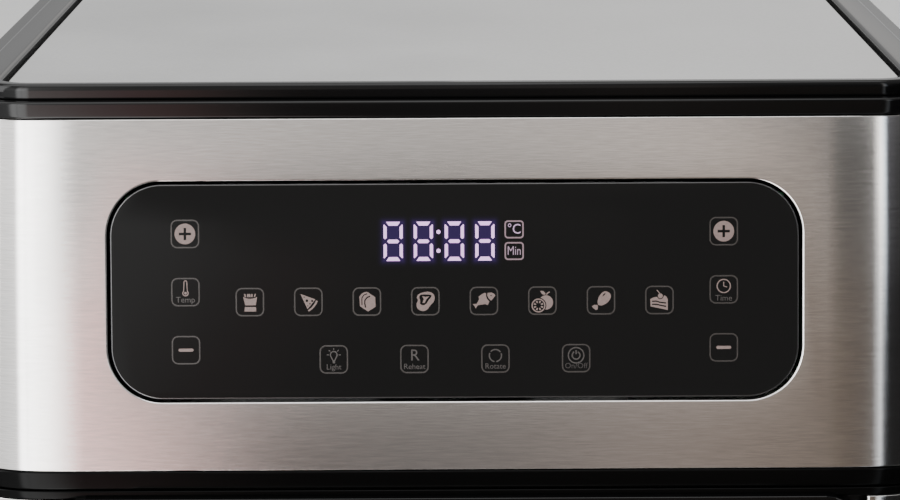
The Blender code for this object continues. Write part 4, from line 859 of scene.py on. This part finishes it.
def make_panel():
    width, height = PANEL_SIZE

    def outline(inset):
        return centred(width - 2 * inset, height - 2 * inset, PANEL_RADIUS - inset)

    section = [(0, -3.0 * MM)]
    section += edge_round(GLASS_EDGE, GLASS_EDGE, -GLASS_EDGE, pi, sweep=-pi / 2, steps=5)
    glass = slab("panel_face", outline, section, panel_glass())
    glass.data.materials.append(polished_edge())
    for face in glass.data.polygons:
        face.material_index = 0 if len(face.vertices) > 4 else 1
    glass.matrix_world = panel_matrix()
    dress(glass, "housing", "panel_glass", "control_panel")


def printed(name, colour, emission=None, strength=0.0):
    """Ink or a lit mark, slightly uneven."""
    made = Surface(name, colour, 0.35)
    grain = made.noise((1, 1, 1), 1500.0, 2.0)
    made.tone(grain, colour, 0.9, 1.1)
    if emission:
        made.set("Emission Color", (*emission, 1.0))
        made.set("Emission Strength", strength)
    return made.material


LINE_INK = printed("key_line_ink", (0.019, 0.0155, 0.0135))
GLYPH_INK = printed("key_glyph_ink", (0.165, 0.118, 0.108))
WORD_INK = printed("key_word_ink", (0.036, 0.031, 0.029))
FAINT_INK = printed("key_faint_ink", (0.019, 0.016, 0.015))
LIT = printed("lit_segment", (0.03, 0.025, 0.035), (0.86, 0.48, 0.98), 1.95)
LIT_LABEL = printed("lit_label", (0.20, 0.15, 0.20), (0.60, 0.36, 0.62), 0.62)
LIT_SOFT = printed("lit_word", (0.15, 0.11, 0.14), (0.50, 0.32, 0.46), 0.42)
LIT_FRAME = printed("lit_frame", (0.11, 0.08, 0.09), (0.50, 0.28, 0.34), 0.30)


def flat_mark(name, loops, material, thickness=0.04 * MM):
    """Thin printed shapes from closed outlines in millimetres, where an inner one is a hole."""
    curve = bpy.data.curves.new(name, "CURVE")
    curve.dimensions = "2D"
    curve.fill_mode = "BOTH"
    curve.extrude = thickness / 2
    for loop in loops:
        spline = curve.splines.new("POLY")
        spline.points.add(len(loop) - 1)
        for point, (x, y) in zip(spline.points, loop):
            point.co = (x * MM, y * MM, 0.0, 1.0)
        spline.use_cyclic_u = True
    drawn = new_object(name + "_drawn", curve)
    return flattened(drawn, name, material)


def flattened(drawn, name, material):
    """The mesh of a curve or text object, placed on the panel's face."""
    bpy.context.view_layer.update()
    graph = bpy.context.evaluated_depsgraph_get()
    mesh = bpy.data.meshes.new_from_object(drawn.evaluated_get(graph))
    geometry = bmesh.new()
    geometry.from_mesh(mesh)
    bmesh.ops.transform(geometry, matrix=drawn.matrix_world, verts=geometry.verts)
    bmesh.ops.remove_doubles(geometry, verts=geometry.verts, dist=1e-7)
    geometry.to_mesh(mesh)
    geometry.free()
    mesh.materials.clear()
    made = new_object(name, mesh, material)
    bpy.data.objects.remove(drawn)
    made.matrix_world = panel_matrix() @ Matrix.Translation((0, 0, 0.01 * MM))
    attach(made, "housing")
    return made


def circle(x, y, radius, steps=28):
    return [
        (x + radius * cos(2 * pi * step / steps), y + radius * sin(2 * pi * step / steps))
        for step in range(steps)
    ]


def shifted(loops, x, y):
    return [[(px + x, py + y) for px, py in loop] for loop in loops]


def box_loop(x, y, width, height, radius=0.0):
    if not radius:
        half = (width / 2, height / 2)
        corners = ((-1, -1), (1, -1), (1, 1), (-1, 1))
        return [(x + sx * half[0], y + sy * half[1]) for sx, sy in corners]
    return [(x + px, y + py) for px, py in centred(width, height, radius, 5)]


def stroke(points, width):
    """A closed outline of a bent line of this width, with square ends."""
    left, right = [], []
    for index, (x, y) in enumerate(points):
        before = points[max(index - 1, 0)]
        after = points[min(index + 1, len(points) - 1)]
        along = Vector((after[0] - before[0], after[1] - before[1])).normalized()
        left.append((x - along.y * width / 2, y + along.x * width / 2))
        right.append((x + along.y * width / 2, y - along.x * width / 2))
    return left + list(reversed(right))


KEY = 9.4
KEY_LINE = 0.46
KEY_CORNER = 2.1


def key_frame(x, y):
    inner = KEY - 2 * KEY_LINE
    return [box_loop(x, y, KEY, KEY, KEY_CORNER), box_loop(x, y, inner, inner, KEY_CORNER - KEY_LINE)]


def smooth_loop(points, steps=5):
    """A closed curve through the points (Catmull-Rom)."""
    count = len(points)
    curved = []
    for index in range(count):
        a, b, c, d = [Vector(points[(index + shift) % count]) for shift in (-1, 0, 1, 2)]
        for step in range(steps):
            t = step / steps
            place = 2 * b + (c - a) * t + (2 * a - 5 * b + 4 * c - d) * t**2
            place += (3 * b - a - 3 * c + d) * t**3
            curved.append(tuple(place / 2))
    return curved


def plus_glyph():
    arm, half = 2.0, 0.42
    plus = [(half, half), (arm, half), (arm, -half), (half, -half), (half, -arm), (-half, -arm)]
    plus += [(-half, -half), (-arm, -half), (-arm, half), (-half, half), (-half, arm), (half, arm)]
    return [circle(0, 0, 3.4, 40), plus]


def minus_glyph():
    return [box_loop(0, 0, 4.9, 1.0, 0.49)]


def thermometer_glyph():
    def outline(stem, ball, top):
        points = arc((0, -0.35), ball, pi / 2 + 0.75, 2 * pi - 1.5, 18)
        return points + arc((0, top - stem), stem, 0, pi, 6)

    return [outline(0.62, 1.05, 3.9), outline(0.30, 0.70, 3.55), circle(0, -0.35, 0.45, 16)]


def clock_glyph():
    loops = [circle(0, 1.1, 2.35, 36), circle(0, 1.1, 2.0, 36)]
    loops.append(stroke([(0, 2.5), (0, 1.1), (1.1, 0.75)], 0.32))
    return loops


def bulb_glyph():
    outer = arc((0, 1.5), 1.3, -0.55, pi + 1.1, 20)
    outer += [(-0.45, -0.5), (-0.35, -1.3), (0.35, -1.3), (0.45, -0.5)]
    inner = arc((0, 1.5), 0.9, -0.55, pi + 1.1, 20) + [(-0.12, -0.3), (0.12, -0.3)]
    loops = [outer, inner]
    for step in range(5):
        along = (cos(pi * step / 4), sin(pi * step / 4))
        near = (1.6 * along[0], 1.5 + 1.6 * along[1])
        loops.append(stroke([near, (2.35 * along[0], 1.5 + 2.25 * along[1])], 0.32))
    return loops


def band_arc(centre, radius, width, start, sweep, steps=16):
    """A curved bar of this width about a centre."""
    outer = arc(centre, radius, start, sweep, steps)
    return outer + arc(centre, radius - width, start + sweep, -sweep, steps)


def turning_glyph():
    return [band_arc((0, 1.0), 2.2, 0.42, radians(start), radians(106)) for start in (34, 155, 276)]


def power_glyph():
    loops = [circle(0, 0.95, 2.75, 40), circle(0, 0.95, 2.35, 40)]
    loops.append(band_arc((0, 0.95), 1.5, 0.45, radians(118), radians(304), 24))
    loops.append(box_loop(0, 2.0, 0.42, 1.3))
    return loops


def fries_glyph():
    carton = [(-1.55, -1.05), (1.95, -1.05), (2.4, 1.75)]
    carton += [(1.7, 1.35), (0.9, 1.15), (0.1, 1.1), (-0.7, 1.15), (-1.5, 1.35), (-2.2, 1.75)]
    loops = [carton, [(-1.78, -3.1), (2.08, -3.1), (2.0, -1.6), (-1.65, -1.6)]]
    sticks = ((-1.75, -1.2, -0.2), (-0.95, -0.45, 0.1), (-0.3, 0.2, 0.0), (0.35, 0.85, 0.15))
    for left, right, lean in sticks:
        loops.append([(left, 1.75), (right, 1.55), (right + lean, 2.6), (left + lean, 2.75)])
    loops.append([(1.25, 1.55), (1.75, 1.75), (2.05, 2.75), (1.6, 2.7)])
    return loops


def pizza_glyph():
    loops = [[(-2.6, 2.6), (2.3, 0.8), (1.2, -0.6), (0.5, -1.5), (-0.3, -2.4)]]
    loops += [circle(-0.48, 0.36, 0.44, 14), circle(1.25, 0.28, 0.36, 12), circle(0.5, -0.65, 0.26, 10)]
    loops += [circle(-1.4, 1.55, 0.22, 8), circle(-0.2, -1.35, 0.2, 8)]
    loops.append(stroke([(2.85, 0.35), (2.2, -0.9), (1.2, -2.1), (0.0, -3.0)], 0.6))
    return loops


def bread_glyph():
    loaf = [(-0.2, 3.2), (0.5, 3.0), (1.4, 2.3), (2.75, 1.4), (2.85, -1.75), (0.35, -3.3), (-2.3, -1.5)]
    loaf += [(-2.4, 0.8), (-2.55, 1.5), (-1.8, 2.5), (-1.0, 3.0)]
    back_gap = stroke([(0.1, 2.55), (-0.9, 2.2), (-1.6, 1.3), (-1.65, 0.2), (-1.6, -1.2)], 0.32)
    front_gap = stroke([(1.1, 1.75), (0.1, 1.35), (-0.65, 0.4), (-0.7, -0.6), (-0.45, -2.0)], 0.42)
    return [loaf, back_gap, front_gap]


def steak_glyph():
    outer = [(0.3, 3.1), (2.1, 2.8), (3.0, 1.6), (2.8, 0.0), (1.7, -1.3), (0.5, -2.8), (-1.1, -3.2)]
    outer += [(-2.6, -2.4), (-2.9, -0.9), (-2.45, 0.3), (-2.8, 1.4), (-1.9, 2.5)]
    meat = [(-1.7, 2.0), (-0.3, 2.25), (1.6, 2.1), (2.0, 1.6), (1.1, 0.4), (0.3, -0.8), (-0.7, -1.3)]
    meat += [(-1.7, -0.9), (-1.7, 0.1), (-2.0, 1.2)]
    bone = [(-1.1, 1.65), (0.0, 1.45), (1.3, 1.6), (0.4, 0.7), (-0.3, -0.6), (-1.0, -0.5), (-0.5, 0.7)]
    return [smooth_loop(outer), smooth_loop(meat), bone]


def fish_glyph():
    body = [(-3.7, -1.0), (-2.4, -0.95), (-1.6, 0.5), (-1.75, 1.4), (-0.7, 2.2), (0.15, 2.65), (0.7, 2.55)]
    body += [(0.75, 1.4), (1.15, 0.5), (1.8, -0.2), (1.3, -1.35), (0.4, -1.05), (-2.0, -1.4), (-2.7, -2.5)]
    body += [(-3.1, -1.7)]
    head = [(1.2, 2.65), (2.5, 2.75), (3.4, 2.3), (3.75, 1.7), (2.5, 0.15), (2.15, 0.2)]
    head += [(1.45, 1.0), (1.1, 1.8)]
    return [body, head, circle(2.35, 1.75, 0.22, 10)]


def fruit_glyph():
    """A round fruit behind a cut half, which keeps a thin gap to it."""
    whole, half, gap = Vector((1.15, -0.6)), Vector((-1.3, -1.6)), 0.3
    near, reach = 2.3, 2.35
    between = half - whole
    away = between.length
    cover = near + gap
    share = (away**2 + reach**2 - cover**2) / (2 * away * reach)
    opening = acos(share)
    toward = atan2(between.y, between.x)
    outline = arc(tuple(whole), reach, toward + opening, 2 * pi - 2 * opening, 30)
    first, last = Vector(outline[0]) - half, Vector(outline[-1]) - half
    start = atan2(last.y, last.x)
    sweep = atan2(first.y, first.x) - start
    outline += arc(tuple(half), cover, start, sweep, 12)[1:-1]
    loops = [outline, circle(*half, near, 32), circle(*half, near - 0.4, 32)]
    for step in range(8):
        loops.append(band_arc(tuple(half), 1.6, 0.75, pi * step / 4 + 0.2, 0.4, 3))
    leaf = [(-0.65, 3.2), (0.3, 3.1), (0.95, 2.4), (0.9, 1.95), (0.1, 2.05), (-0.4, 2.5)]
    loops.append(smooth_loop(leaf, 3))
    loops.append(stroke([(1.3, 1.95), (1.7, 2.5), (2.4, 2.85)], 0.4))
    return loops


def drumstick_glyph():
    meat = [(-0.95, -1.35), (-1.1, -0.2), (-0.5, 1.5), (0.9, 2.85), (2.2, 2.8), (3.1, 2.0), (3.15, 0.7)]
    meat += [(2.0, -0.85), (0.4, -1.65), (-0.6, -1.6)]
    shine = [(0.4, 1.2), (0.7, 1.9), (1.5, 2.5), (1.4, 1.9)]
    bone = [(-1.15, -1.5), (-2.0, -1.45), (-3.0, -1.9), (-2.6, -2.5), (-1.7, -3.2), (-1.1, -3.0)]
    bone.append((-1.0, -2.0))
    return [smooth_loop(meat), shine, bone]


def cake_glyph():
    plate = [(-3.0, 0.3), (-2.1, 0.8), (-1.15, 1.05), (-0.75, 1.0)]
    plate += arc((0.3, 1.35), 1.1, radians(200), radians(150), 10)
    plate += [(1.6, 1.55), (2.3, 1.1), (2.75, 0.2), (2.75, -3.3), (-2.9, -2.1)]
    loops = [plate, circle(0.3, 1.35, 0.8, 20), stroke([(0.15, 2.1), (-0.3, 2.7), (-0.85, 3.3)], 0.3)]
    loops.append(stroke([(-2.4, -0.45), (-1.2, -0.35), (0.2, -0.75), (2.2, -1.0)], 0.42))
    loops.append(stroke([(-2.4, -1.4), (-0.8, -1.45), (0.6, -1.8), (2.2, -2.1)], 0.42))
    return loops


PRESET_X = (-67.2, -48.0, -28.8, -9.6, 9.6, 28.8, 48.0, 67.2)
PRESET_Y = -3.4
SIDE_X = 88.3
SIDE_STEP = 19.1
LOWER_X = (-39.8, -13.3, 13.3, 39.8)
LOWER_Y = -22.4
PRESETS = (
    ("fries", fries_glyph),
    ("pizza", pizza_glyph),
    ("bread", bread_glyph),
    ("steak", steak_glyph),
    ("fish", fish_glyph),
    ("fruit", fruit_glyph),
    ("drumstick", drumstick_glyph),
    ("cake", cake_glyph),
)


def key(name, x, y, glyph, ink=None):
    flat_mark("key_frame_" + name, key_frame(x, y), LINE_INK)
    if glyph:
        flat_mark("key_glyph_" + name, shifted(glyph, x, y), ink or GLYPH_INK)


def word(name, text, x, y, size, material, squeeze=1.0):
    """A short function word in a plain typeface, centred at a point on the panel."""
    curve = bpy.data.curves.new(name, "FONT")
    curve.body = text
    curve.size = size * MM
    curve.align_x = "CENTER"
    curve.align_y = "CENTER"
    curve.extrude = 0.02 * MM
    curve.resolution_u = 3
    drawn = new_object(name + "_drawn", curve)
    drawn.location = (x * MM, y * MM, 0.0)
    drawn.scale = (squeeze, 1.0, 1.0)
    return flattened(drawn, name, material)


def make_keys():
    for (name, glyph), x in zip(PRESETS, PRESET_X):
        key(name, x, PRESET_Y, glyph())
    for side, sign, middle in (("temperature", -1, thermometer_glyph()), ("time", 1, clock_glyph())):
        key(side + "_up", sign * SIDE_X, SIDE_STEP, plus_glyph())
        key(side, sign * SIDE_X, 0.0, middle)
        key(side + "_down", sign * SIDE_X, -SIDE_STEP, minus_glyph())
    word("word_temp", "Temp", -SIDE_X, -2.6, 2.7, WORD_INK)
    word("word_time", "Time", SIDE_X, -2.9, 2.7, WORD_INK)
    lower = (
        ("light", "Light", bulb_glyph()),
        ("reheat", "Reheat", []),
        ("rotate", "Rotate", turning_glyph()),
        ("power", "On/Off", power_glyph()),
    )
    for (name, text, glyph), x in zip(lower, LOWER_X):
        key(name, x, LOWER_Y, glyph, WORD_INK)
        word("word_" + name, text, x, LOWER_Y - 2.55, 2.55, FAINT_INK if name == "power" else WORD_INK)
    word("key_glyph_reheat", "R", LOWER_X[1] + 0.1, LOWER_Y + 1.1, 5.3, WORD_INK)


def level_segment(x, y, length, shape):
    """A level bar: shape 1 is widest at its top edge, -1 at its bottom edge, 0 pointed at both ends."""
    half, thick = length / 2, STROKE / MM / 2
    if shape:
        short = half - 0.85
        y_wide, y_short = y + shape * thick, y - shape * thick
        outline = [(x - half, y_wide), (x - half + 0.15, y_wide + shape * 0.08)]
        outline += [(x + half - 0.15, y_wide + shape * 0.08), (x + half, y_wide)]
        return outline + [(x + short, y_short), (x - short, y_short)]
    tip = 0.55
    outline = [(x - half, y), (x - half + tip, y - thick), (x + half - tip, y - thick), (x + half, y)]
    return outline + [(x + half - tip, y + thick), (x - half + tip, y + thick)]


def upright_segment(x, y, length, side, half):
    """An upright bar on one side of a digit: half tells the upper (1) from the lower (-1) one."""
    reach, thick = length / 2, UPRIGHT / 2
    outer, inner = x + side * thick, x - side * thick
    far, near = y + half * reach, y - half * reach
    outline = [(outer, far - half * 0.15), (outer - side * 0.25, far), (inner, far - half * 0.85)]
    return outline + [(inner, near + half * 0.45), (x, near), (outer, near + half * 0.45)]


def make_digits():
    width, height, thick = DIGIT_WIDTH / MM, DIGIT_HEIGHT / MM, STROKE / MM
    y = DIGIT_Y / MM
    level_y = (height - thick) / 2
    for index, left in enumerate(DIGIT_LEFT):
        x = left / MM + width / 2
        loops = [level_segment(x, y + shape * level_y, width - 1.75, shape) for shape in (-1, 1)]
        loops.append(level_segment(x, y, width - 2.35, 0))
        for side in (-1, 1):
            for half in (-1, 1):
                place = (x + side * (width - UPRIGHT) / 2, y + half * (height / 4 - 0.05))
                loops.append(upright_segment(*place, height / 2 - 1.5, side, half))
        flat_mark(f"digit_{index + 1}", loops, LIT)
    dots = [circle(COLON_X / MM, y + rise, 0.68, 20) for rise in (3.05, -3.15)]
    flat_mark("digit_colon", dots, LIT)
    for name, text, rise, ink in (
        ("label_degrees", "°C", 3.75, LIT_LABEL),
        ("label_minutes", "Min", -3.35, LIT_SOFT),
    ):
        x, middle = 19.6, y + rise
        loops = [box_loop(x, middle, 6.3, 5.9, 1.1), box_loop(x, middle, 5.35, 4.95, 0.7)]
        flat_mark(name + "_frame", loops, LIT_FRAME)
        word(name, text, x, middle, 4.6 if rise > 0 else 4.1, ink, 0.9 if rise > 0 else 0.76)


# ---------------------------------------------------------------- wire, turned parts and fixings
def turned(name, profile, place, axis, material, steps=32):
    """A solid of revolution from (radius, height along the axis) pairs, first and last on it."""
    turn = Vector(axis).to_track_quat("Z", "Y").to_matrix()
    geometry = bmesh.new()
    rings = []
    for radius, height in profile:
        ring = [(x, y, height) for x, y in arc((0, 0), radius, 0, 2 * pi, steps)[:-1]]
        rings.append([tuple(turn @ Vector(point) + Vector(place)) for point in ring])
    capped_loft(geometry, rings)
    return from_bmesh(name, geometry, material)


def rod(geometry, start, end, radius, steps=12):
    """Adds a round bar with chamfered ends to a bmesh."""
    start, end = Vector(start), Vector(end)
    turn = (end - start).to_track_quat("Z", "Y").to_matrix()
    length = (end - start).length
    tip = radius * 0.4
    rings = []
    for size, along in ((radius - tip, 0), (radius, tip), (radius, length - tip), (radius - tip, length)):
        ring = arc((0, 0), size, 0, 2 * pi, steps)[:-1]
        rings.append([tuple(start + turn @ Vector((x, y, along))) for x, y in ring])
    capped_loft(geometry, rings)


def wire_loop(geometry, path, radius, steps=12):
    """Adds a closed round wire along level points to a bmesh."""
    count = len(path)
    rings = []
    for index, point in enumerate(path):
        ahead = Vector(path[(index + 1) % count]) - Vector(path[index - 1])
        side = Vector((-ahead.y, ahead.x, 0)).normalized()
        ring = arc((0, 0), radius, 0, 2 * pi, steps)[:-1]
        rings.append([tuple(Vector(point) + side * x + Vector((0, 0, z))) for x, z in ring])
    loft_rings(geometry, rings, close_stack=True)


RACK_BORDER = 1.5 * MM
RACK_BAR = 1.25 * MM
RACK_PITCH = 12.5 * MM
RACK_CORNER = 9 * MM
RACK_BAR_RISE = 0.2 * MM


def make_rack():
    """The shelf: a round border wire, two bearers under it, and thin bars welded across."""
    border, bar = RACK_BORDER, RACK_BAR
    first, last = low("wire_rack"), high("wire_rack")
    level = (first.z + last.z) / 2
    inner = (first.x + border, first.y + border), (last.x - border, last.y - border)
    outline = rounded_box(*inner, RACK_CORNER, steps=8)
    geometry = bmesh.new()
    wire_loop(geometry, [(x, y, level) for x, y in outline], border)
    count = int((inner[1][0] - inner[0][0]) / RACK_PITCH)
    z = level + RACK_BAR_RISE
    for index in range(1, count):
        x = inner[0][0] + (inner[1][0] - inner[0][0]) * index / count
        rod(geometry, (x, inner[0][1], z), (x, inner[1][1], z), bar)
    for share in (1 / 3, 2 / 3):
        y = inner[0][1] + (inner[1][1] - inner[0][1]) * share
        rod(geometry, (inner[0][0], y, level - bar), (inner[1][0], y, level - bar), bar)
    dress(from_bmesh("rack_wires", geometry, WIRE), "housing", "bright_wire", "wire_rack")


GUARD_WIRE = 1.0 * MM
GUARD_RINGS = (0.16, 0.37, 0.58, 0.79, 1.0)


def make_guard():
    """The guard under the heater: rings of round wire on three crossing spokes."""
    first, last = low("heater_guard"), high("heater_guard")
    x0, y0, z0 = (first + last) / 2
    radius = (last.x - first.x) / 2
    wire = GUARD_WIRE
    geometry = bmesh.new()
    for share in GUARD_RINGS:
        size = radius * share - wire
        wire_loop(geometry, [(x, y, z0) for x, y in arc((x0, y0), size, 0, 2 * pi, 64)[:-1]], wire, 8)
    for turn in (0, 1, 2):
        along = Vector((cos(turn * pi / 3), sin(turn * pi / 3), 0)) * (radius - wire)
        middle = Vector((x0, y0, z0 + 1.6 * wire))
        rod(geometry, middle - along, middle + along, wire, 8)
    dress(from_bmesh("guard_wires", geometry, WIRE), "housing", "bright_wire", "heater_guard")


HANDLE_CAP = 7 * MM
HANDLE_GROOVE = 0.35 * MM


def make_handle():
    """A turned bar with chamfered end caps, on two posts with collars."""
    first, last = low("door_handle"), high("door_handle")
    y, z = (first.y + last.y) / 2, (first.z + last.z) / 2
    radius = (last.z - first.z) / 2
    length = last.x - first.x
    cap, groove = HANDLE_CAP, HANDLE_GROOVE
    profile = [(radius - 2.2 * MM, 0), (radius - 1.0 * MM, 0.3 * MM), (radius, 1.4 * MM)]
    profile += [(radius, cap), (radius - groove, cap + groove), (radius - groove, cap + 3 * groove)]
    profile += [(radius, cap + 4 * groove)]
    profile += [(size, length - along) for size, along in reversed(profile)]
    bar = turned("handle_bar", profile, (first.x, y, z), (1, 0, 0), STEEL, 40)
    dress(bar, "door", "handle_steel", "door_handle")
    for side in ("left", "right"):
        node = "handle_post_" + side
        inner, outer = low(node), high(node)
        x = (inner.x + outer.x) / 2
        reach = outer.y - inner.y
        profile = [(4.2 * MM, 0), (5.0 * MM, 0.5 * MM), (5.0 * MM, 2.2 * MM), (3.9 * MM, 3.4 * MM)]
        profile += [(3.7 * MM, reach - 3.6 * MM), (4.6 * MM, reach - 2.6 * MM)]
        profile += [(5.0 * MM, reach - 1.8 * MM), (5.0 * MM, reach - 0.3 * MM), (4.7 * MM, reach)]
        post = turned("post_" + side, profile, (x, inner.y, z), (0, 1, 0), BLACK, 28)
        dress(post, "door", "gloss_black", node)


def make_feet():
    """Ribbed rubber feet with a dished sole."""
    for node in ("foot_front_left", "foot_front_right", "foot_rear_left", "foot_rear_right"):
        first, last = low(node), high(node)
        x, y = (first.x + last.x) / 2, (first.y + last.y) / 2
        top, radius = last.z, (last.x - first.x) / 2
        profile = [(5.0 * MM, 1.6 * MM), (6.4 * MM, 0.2 * MM), (7.8 * MM, 0), (8.6 * MM, 0.5 * MM)]
        for rib in range(3):
            z = (2.2 + 2.4 * rib) * MM
            wide = radius - (1.6 - 0.8 * rib) * MM
            profile += [(wide - 0.5 * MM, z), (wide, z + 0.5 * MM)]
            profile += [(wide, z + 1.3 * MM), (wide - 0.5 * MM, z + 1.8 * MM)]
        profile += [(radius, 10.0 * MM), (radius, top - 0.3 * MM), (radius - 0.4 * MM, top)]
        made = turned(node + "_pad", profile, (x, y, 0), (0, 0, 1), RUBBER)
        dress(made, "housing", "foot_rubber", node)


SCREW_HEAD = 3.1 * MM
SCREW_TOP = 2.35 * MM
SCREW_SEAT = 0.4 * MM
SCREW_EDGE_X = 8 * MM
SCREW_EDGE_Z = 9 * MM
RECESS_SIZE = 3.4 * MM
RECESS_DEPTH = 1.2 * MM
RECESS_PLACE = 2.4 * MM


def cross_cutter(place, size):
    """A plus-shaped prism that cuts a screw's recess."""
    reach, half, deep = size / 2, size * 0.12, RECESS_DEPTH
    plus = [(reach, -half), (reach, half), (half, half), (half, reach), (-half, reach), (-half, half)]
    plus += [(-reach, half), (-reach, -half), (-half, -half), (-half, -reach), (half, -reach)]
    plus.append((half, -half))
    geometry = bmesh.new()
    rings = [[(place.x + x, place.y + y, place.z + z) for x, z in plus] for y in (-deep, deep)]
    capped_loft(geometry, rings)
    return from_bmesh("cross_cutter", geometry, ZINC)


def make_screws():
    """Pan-head screws round the edge of the back cover."""
    x_side = high("back_cover").x - SCREW_EDGE_X
    z_low, z_high = low("back_cover").z + SCREW_EDGE_Z, high("back_cover").z - SCREW_EDGE_Z
    z_middle = (z_low + z_high) / 2
    places = [(side * x_side, z) for side in (-1, 1) for z in (z_low, z_middle, z_high)]
    places += [(0, z_low), (0, z_high)]
    seat = BACK_Y - SCREW_SEAT
    for index, (x, z) in enumerate(places):
        profile = [(SCREW_HEAD - 0.2 * MM, 0), (SCREW_HEAD, 0.3 * MM), (SCREW_HEAD, 1.2 * MM)]
        profile += [(SCREW_HEAD * 0.86, 1.8 * MM), (SCREW_HEAD * 0.55, 2.2 * MM)]
        profile.append((0.2 * MM, SCREW_TOP))
        head = turned(f"back_screw_{index + 1}", profile, (x, seat, z), (0, 1, 0), ZINC, 24)
        cut(head, cross_cutter(Vector((x, seat + RECESS_PLACE, z)), RECESS_SIZE))
        dress(head, "housing", "motor_steel")


def pane(name, node, radius, edge):
    """A glass pane with rounded corners and ground edges, standing where the node stands."""
    first, last = low(node), high(node)
    thick = last.y - first.y
    middle = (first + last) / 2
    size = last - first
    section = [(edge, -thick / 2), (0, -thick / 2 + edge), (0, thick / 2 - edge), (edge, thick / 2)]
    made = slab(
        name,
        lambda inset: centred(size.x - 2 * inset, size.z - 2 * inset, radius - inset, 8),
        section,
        GLASS,
    )
    stand = Matrix.Rotation(pi / 2, 4, "X")
    made.data.transform(Matrix.Translation(middle) @ stand)
    dress(made, "door", "door_glass", node)
    return middle, size


BORDER = 15 * MM
BORDER_LAYER = (0.05 * MM, 0.13 * MM)


def make_window():
    """The door's two panes, with the printed black border behind the front one."""
    middle, size = pane("pane_outer", "door_glass_outer", 7 * MM, 0.5 * MM)
    pane("pane_inner", "door_glass_inner", 5 * MM, 0.4 * MM)
    back = high("door_glass_outer").y
    width, height = size.x - 1.6 * MM, size.z - 1.6 * MM
    outline = centred(width, height, 6.4 * MM, 8)
    opening = centred(width - 2 * BORDER, height - 2 * BORDER, 7 * MM, 8)
    geometry = bmesh.new()
    near, far = back + BORDER_LAYER[0], back + BORDER_LAYER[1]
    rings = []
    for y, loop in ((near, outline), (far, outline), (far, opening), (near, opening)):
        rings.append([(x + middle.x, y, z + middle.z) for x, z in loop])
    loft_rings(geometry, rings, close_stack=True)
    dress(from_bmesh("window_border", geometry, BORDER_INK), "door", "door_glass")


SILL_SHEET = 0.8 * MM
SILL_RADIUS = 2.2 * MM
SILL_OVERRUN = 6 * MM


def make_fascia():
    """The sill under the door: a folded steel channel, open at its back."""
    first, last = low("lower_fascia"), high("lower_fascia")
    length = last.x - first.x
    sheet = SILL_SHEET
    deep = last.y + SILL_OVERRUN
    outline = rounded_box((first.y, first.z), (deep, last.z), SILL_RADIUS, steps=6)
    inside = rounded_box(
        (first.y + sheet, first.z + sheet), (deep, last.z - sheet), 1.4 * MM, steps=6
    )
    front = [point for point in outline if point[0] <= last.y]
    hollow = [point for point in inside if point[0] <= last.y]
    geometry = bmesh.new()
    rings = []
    for x in (first.x, first.x + length):
        ring = [(x, y, z) for y, z in front] + [(x, y, z) for y, z in reversed(hollow)]
        rings.append(ring)
    capped_loft(geometry, rings)
    dress(from_bmesh("sill_channel", geometry, STEEL), "housing", "brushed_steel", "lower_fascia")


# ---------------------------------------------------------------- assembly
def coat_frame():
    """Every CAD node gets its finished material."""
    finish_of = {
        "brushed_steel": STEEL,
        "handle_steel": STEEL,
        "satin_steel": TOP_STEEL,
        "gloss_black": BLACK,
        "black_coated_steel": COATED,
        "black_plastic": DARK_PLASTIC,
        "foot_rubber": RUBBER,
        "door_seal": SEAL,
        "door_glass": GLASS,
        "display": DARK_PLASTIC,
        "circuit_board": BOARD,
        "copper_winding": COPPER,
        "liner_steel": LINER,
        "door_sheet": DOOR_SHEET,
        "bright_wire": WIRE,
        "heater_sheath": SHEATH,
        "cast_aluminium": CAST,
        "motor_steel": ZINC,
        "white_plastic": WHITE,
    }
    for entry in frame["record"]["subparts"]:
        coat(entry["node"], finish_of.get(entry["material_slot"], BLACK))


coat_frame()
make_camera()
make_floor()
make_studio()
area_light("overhead", (-0.3, -0.4, 1.9), (0.0, 0.0, 0.2), (1.8, 1.4), 26)
area_light("left_softbox", (-1.5, -0.7, 0.9), (0.0, 0.0, 0.25), (0.7, 1.4), 16)
make_top()
make_band()
make_divider()
make_side_panels()
make_panel()
make_keys()
make_digits()
make_window()
make_handle()
make_feet()
make_rack()
make_guard()
make_fascia()
make_screws()
